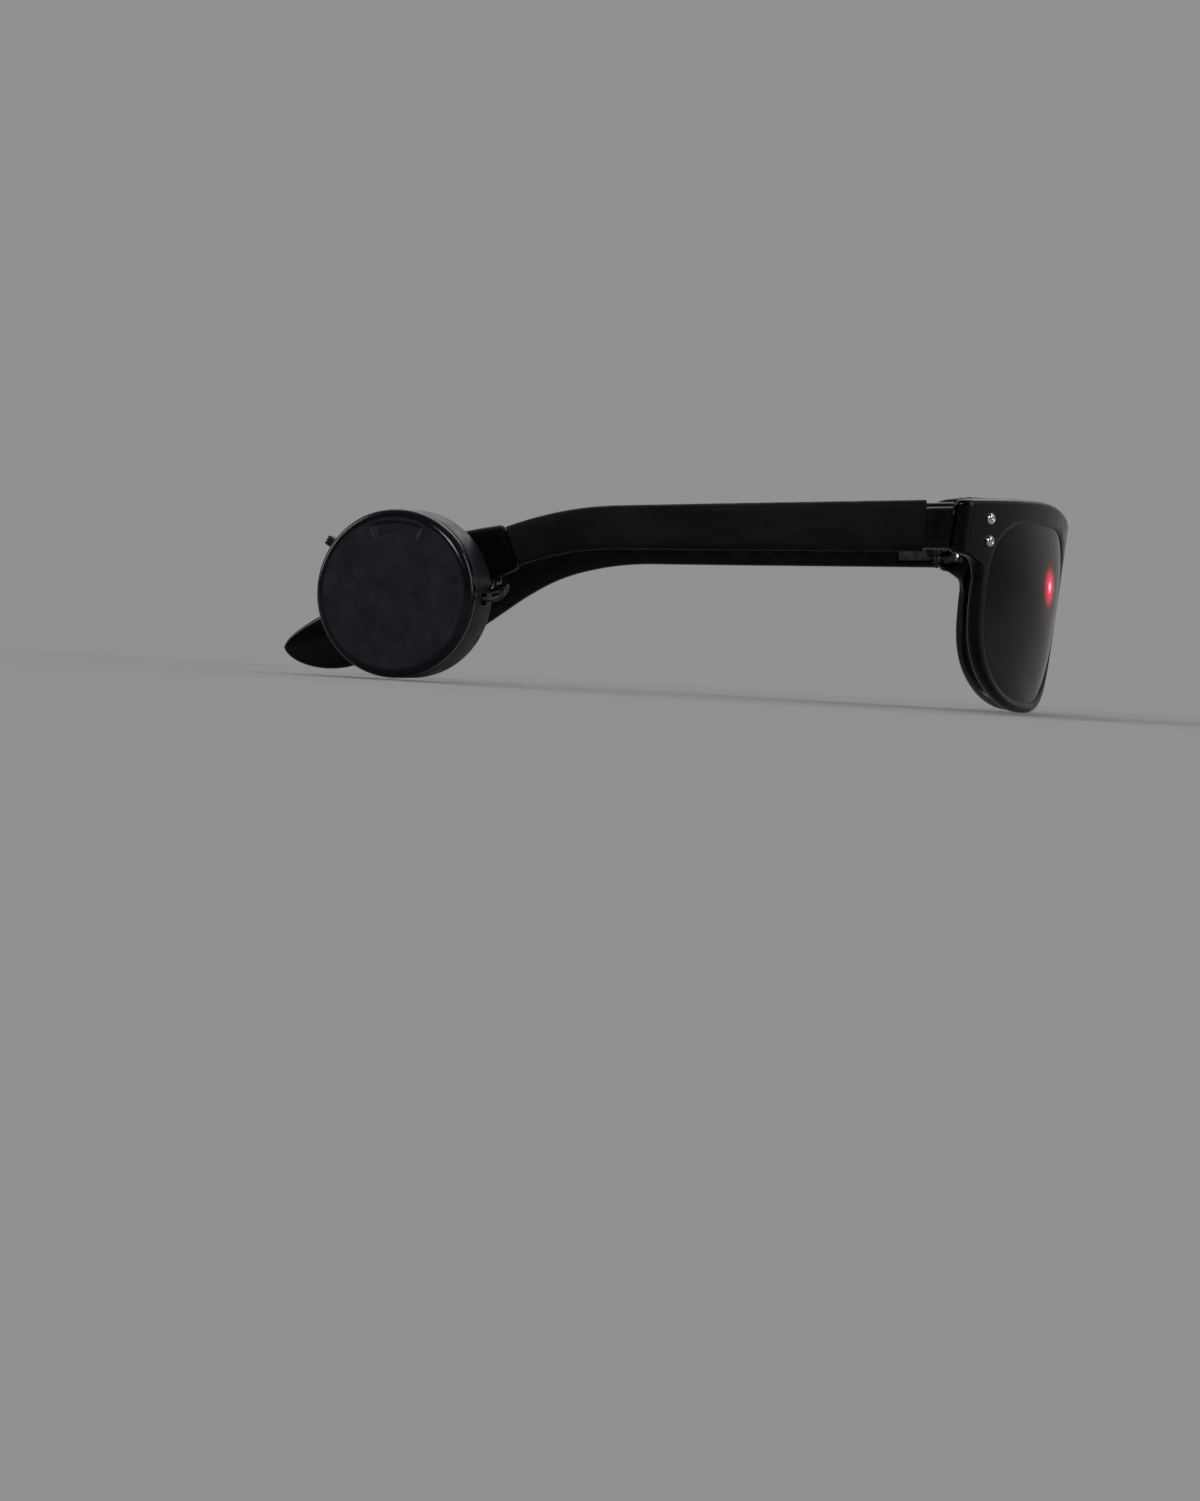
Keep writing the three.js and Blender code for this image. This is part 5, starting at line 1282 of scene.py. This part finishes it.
class SUNGLASSES_OT_leads(bpy.types.Operator):
    """Make the leads behind the front, over the hinge and along the arm into the case"""
    bl_idname = "sunglasses.leads"
    bl_label = "Leads"

    def execute(self, context):
        p = Pattern(context.scene)
        for i, (name, look, side) in enumerate((("positive", "lead_red", 1), ("negative", "lead_black", -1))):
            behind = front_lead_path(p, side, LEAD_LEVELS[i])
            along = temple_lead_path(p, i == 0)
            over = hinge_lead_path(p, LEAD_LEVELS[i], LEAD_HEIGHTS[i])
            front, temple, hinge = ([skin(tube(path, p.lead_radius))] for path in (behind, along, over))
            make_piece(p, f"front_lead_{name}", front, look, "front")
            make_piece(p, f"temple_lead_{name}", temple, look, "temple_right")
            piece = make_piece(p, f"hinge_lead_{name}", hinge, look, None)
            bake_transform(piece)
        return {"FINISHED"}


class SUNGLASSES_OT_sleeve(bpy.types.Operator):
    """Make the shrink sleeve and the rear band on the right arm"""
    bl_idname = "sunglasses.sleeve"
    bl_label = "Sleeve and band"

    def execute(self, context):
        p = Pattern(context.scene)
        sleeve = sleeve_skin(p, p.sleeve_start, p.sleeve_end, p.sleeve_wall, 0, SLEEVE_LIP, SLEEVE_RIPPLE)
        make_piece(p, "temple_sleeve", [sleeve], "sleeve_rubber", "temple_right")
        start = p.sleeve_end + SEAT_GAP
        band = sleeve_skin(p, start, start + p.band_length, p.band_wall, p.band_flare, BAND_LIP, BAND_RIPPLE)
        station = np.linspace(start + BAND_NOTCH[0], start + BAND_NOTCH[0] + BAND_NOTCH[1], 9)[:, None]
        reach, edge = ARM_HEIGHTS[0], -2 * p.band_wall
        across, up = np.array([(0, -reach), (reach, -reach), (reach, edge), (0, edge)]).T
        notch = skin(p.arm_point(station, across, up))
        make_piece(p, "rear_band", [band], "band_rubber", "temple_right", cuts=[notch])
        return {"FINISHED"}


class SUNGLASSES_OT_case(bpy.types.Operator):
    """Make the battery case, its lid, its switch knob and its pad, and finish what is inside"""
    bl_idname = "sunglasses.case"
    bl_label = "Battery case"

    def execute(self, context):
        p = Pattern(context.scene)
        inner, outer, level = p.room - p.case_wall, p.case_radius + p.case_wall, p.switch_level
        middle, half = KNOB_TRAVEL / 2, (KNOB[0] + KNOB_TRAVEL) / 2 + RUN_GAP
        tall = KNOB[2] / 2 + RUN_GAP
        knob_slot = case_block(p, (inner, middle - half, level - tall), (outer, middle + half, level + tall),
                               SWITCH_ANGLE)
        wide, tall = p.lead_radius + 2.5 * SEAT_GAP, LEAD_PITCH / 2 + p.lead_radius + SEAT_GAP
        lead_slot = case_block(p, (inner, -wide, INNER_LEVEL - tall), (outer, wide, INNER_LEVEL + tall),
                               LEAD_HOLE)
        make_piece(p, "case_body", [case_body_skin(p)], "case_satin", "temple_right",
                   cuts=[knob_slot, lead_slot])
        make_piece(p, "case_lid", [lid_skin(p)], "lid_matte", "battery_lid")

        start, end = p.switch_ring + SWITCH_SIZE[1] - STEM, p.case_radius + KNOB[1]
        along, deep = KNOB[0] / 2, KNOB[2] / 2
        stem = case_block(p, (start, -along, level - deep), (end - RIB_RISE, along, level + deep),
                          SWITCH_ANGLE, STEM_EASE)
        low, high = level - deep + RIB_INSET, level + deep - RIB_INSET
        ribs = [case_block(p, (end - RIB_LENGTH, x - RIB_HALF, low), (end, x + RIB_HALF, high),
                           SWITCH_ANGLE, RIB_EASE) for x in RIB_PLACES]
        make_piece(p, "switch_knob", [stem], "switch_black", "switch_knob", joins=ribs)

        long, wide, thick = np.array(PAD) / 2
        grid = rounded_block((long, wide, thick), PAD_EASE, 96, 24)
        bulge = 1 + PAD_BULGE * np.cos(QUARTER * grid[..., 2:] / thick) * (1, 1, 0)
        grid = turned(grid * bulge, p.arm_pitch(p.case_station)) - (0, 0, SEAT_GAP + thick)
        pad = make_piece(p, "case_pad", [skin(p.case_point(grid))], "pad_foam", "temple_right")
        dress(p, "cell_nickel", "cell_lower", "cell_upper", "negative_spring", "positive_contact")
        dress(p, "switch_black", "switch_housing")
        dress(p, "resistor_tan", "series_resistor")
        return {"FINISHED"}


class SUNGLASSES_OT_stage(bpy.types.Operator):
    """Make the floor, the lights and the camera"""
    bl_idname = "sunglasses.stage"
    bl_label = "Stage"

    def execute(self, context):
        p = Pattern(context.scene)
        scene = context.scene
        scene.view_settings.view_transform = "Standard"
        columns, flat, bend = 96, 2.2, 1.6
        turn = np.linspace(0, QUARTER * 0.92, 40)
        radius = np.concatenate([np.linspace(0, flat, 30), flat + bend * np.sin(turn[1:])])
        height = np.concatenate([np.zeros(30), bend * (1 - np.cos(turn[1:]))]) - FLOOR_DROP
        points = spun(np.stack([radius, height], -1), columns).reshape(-1, 3)
        mesh = bpy.data.meshes.new("floor")
        mesh.from_pydata(points.tolist(), [], grid_quads(len(radius), columns).tolist())
        merge_doubles(mesh)
        mesh.shade_smooth()
        floor = bpy.data.objects.new("floor", mesh)
        scene.collection.objects.link(floor)
        mesh.materials.append(paper_finish(p.backdrop))

        world = bpy.data.worlds.new("studio")
        world.use_nodes = True
        world.node_tree.nodes["Background"].inputs["Color"].default_value = (0.93, 0.95, 1.0, 1)
        nodes, links = world.node_tree.nodes, world.node_tree.links
        way = nodes.new("ShaderNodeVectorMath")
        way.operation, way.inputs[1].default_value = "DOT_PRODUCT", (1.0, 0.0, -0.5)
        links.new(nodes.new("ShaderNodeTexCoord").outputs["Generated"], way.inputs[0])
        level = nodes.new("ShaderNodeMapRange")
        for socket, value in zip(level.inputs[1:5], (-0.8, 0.5, 0.1, 0.45)):
            socket.default_value = value
        links.new(way.outputs["Value"], level.inputs["Value"])
        links.new(level.outputs[0], nodes["Background"].inputs["Strength"])
        scene.world = world
        for name, place, wide, tall, power in (
            ("overhead", (0.9, 0.0, 1.1), 1.3, 1.3, 7.6),
            ("left_side", (0.1, 1.2, 0.6), 0.25, 0.9, 4.5),
            ("front_fill", (-1.35, 0.15, 0.75), 0.4, 0.4, 8.0),
            ("right_side", (-0.15, -1.2, 0.55), 0.25, 0.9, 4.5),
        ):
            light = bpy.data.lights.new(name, "AREA")
            light.shape, light.size, light.size_y, light.energy = "RECTANGLE", wide, tall, power
            lamp = bpy.data.objects.new(name, light)
            toward = (-Vector(place)).to_track_quat("-Z", "Y")
            lamp.matrix_world = Matrix.Translation(place) @ toward.to_matrix().to_4x4()
            scene.collection.objects.link(lamp)

        a, e = np.radians(EYE_TURN), np.radians(EYE_DIP)
        look = np.array([np.cos(a) * np.cos(e), np.sin(a) * np.cos(e), -np.sin(e)])
        right = np.array([np.sin(a), -np.cos(a), 0])
        axes = p.turn @ np.stack([right, np.cross(right, look), -look], -1)
        camera = bpy.data.objects.new("camera", bpy.data.cameras.new("camera"))
        camera.data.sensor_fit, camera.data.sensor_width, camera.data.lens = "HORIZONTAL", 36, EYE_LENS
        camera.data.clip_start, camera.data.clip_end = 0.01, 50
        camera.matrix_world = Matrix.Translation(p.set_down(EYE)) @ Matrix(axes.tolist()).to_4x4()
        scene.collection.objects.link(camera)
        scene.camera = camera
        return {"FINISHED"}


OPERATORS = (
    SUNGLASSES_OT_stage, SUNGLASSES_OT_front, SUNGLASSES_OT_lenses, SUNGLASSES_OT_hinges,
    SUNGLASSES_OT_temples, SUNGLASSES_OT_lamp, SUNGLASSES_OT_leads, SUNGLASSES_OT_sleeve, SUNGLASSES_OT_case,
)


class SUNGLASSES_PT_panel(bpy.types.Panel):
    """Sizes, finishes and makers of the sunglasses"""
    bl_idname = "SUNGLASSES_PT_panel"
    bl_label = "Sunglasses"
    bl_space_type = "VIEW_3D"
    bl_region_type = "UI"
    bl_category = "Sunglasses"

    def draw(self, context):
        for operator in OPERATORS:
            self.layout.operator(operator.bl_idname)
        for name, group in GROUPS.items():
            box = self.layout.box()
            for item in group.__annotations__:
                box.prop(getattr(context.scene, name), item)


def register():
    for group in GROUPS.values():
        bpy.utils.register_class(group)
    for name, group in GROUPS.items():
        setattr(bpy.types.Scene, name, PointerProperty(type=group))
    for item in (*OPERATORS, SUNGLASSES_PT_panel):
        bpy.utils.register_class(item)


def unregister():
    for item in (SUNGLASSES_PT_panel, *reversed(OPERATORS)):
        bpy.utils.unregister_class(item)
    for name, group in GROUPS.items():
        delattr(bpy.types.Scene, name)
        bpy.utils.unregister_class(group)


def main():
    register()
    for operator in OPERATORS:
        category, name = operator.bl_idname.split(".")
        getattr(getattr(bpy.ops, category), name)()


if __name__ == "__main__":
    main()
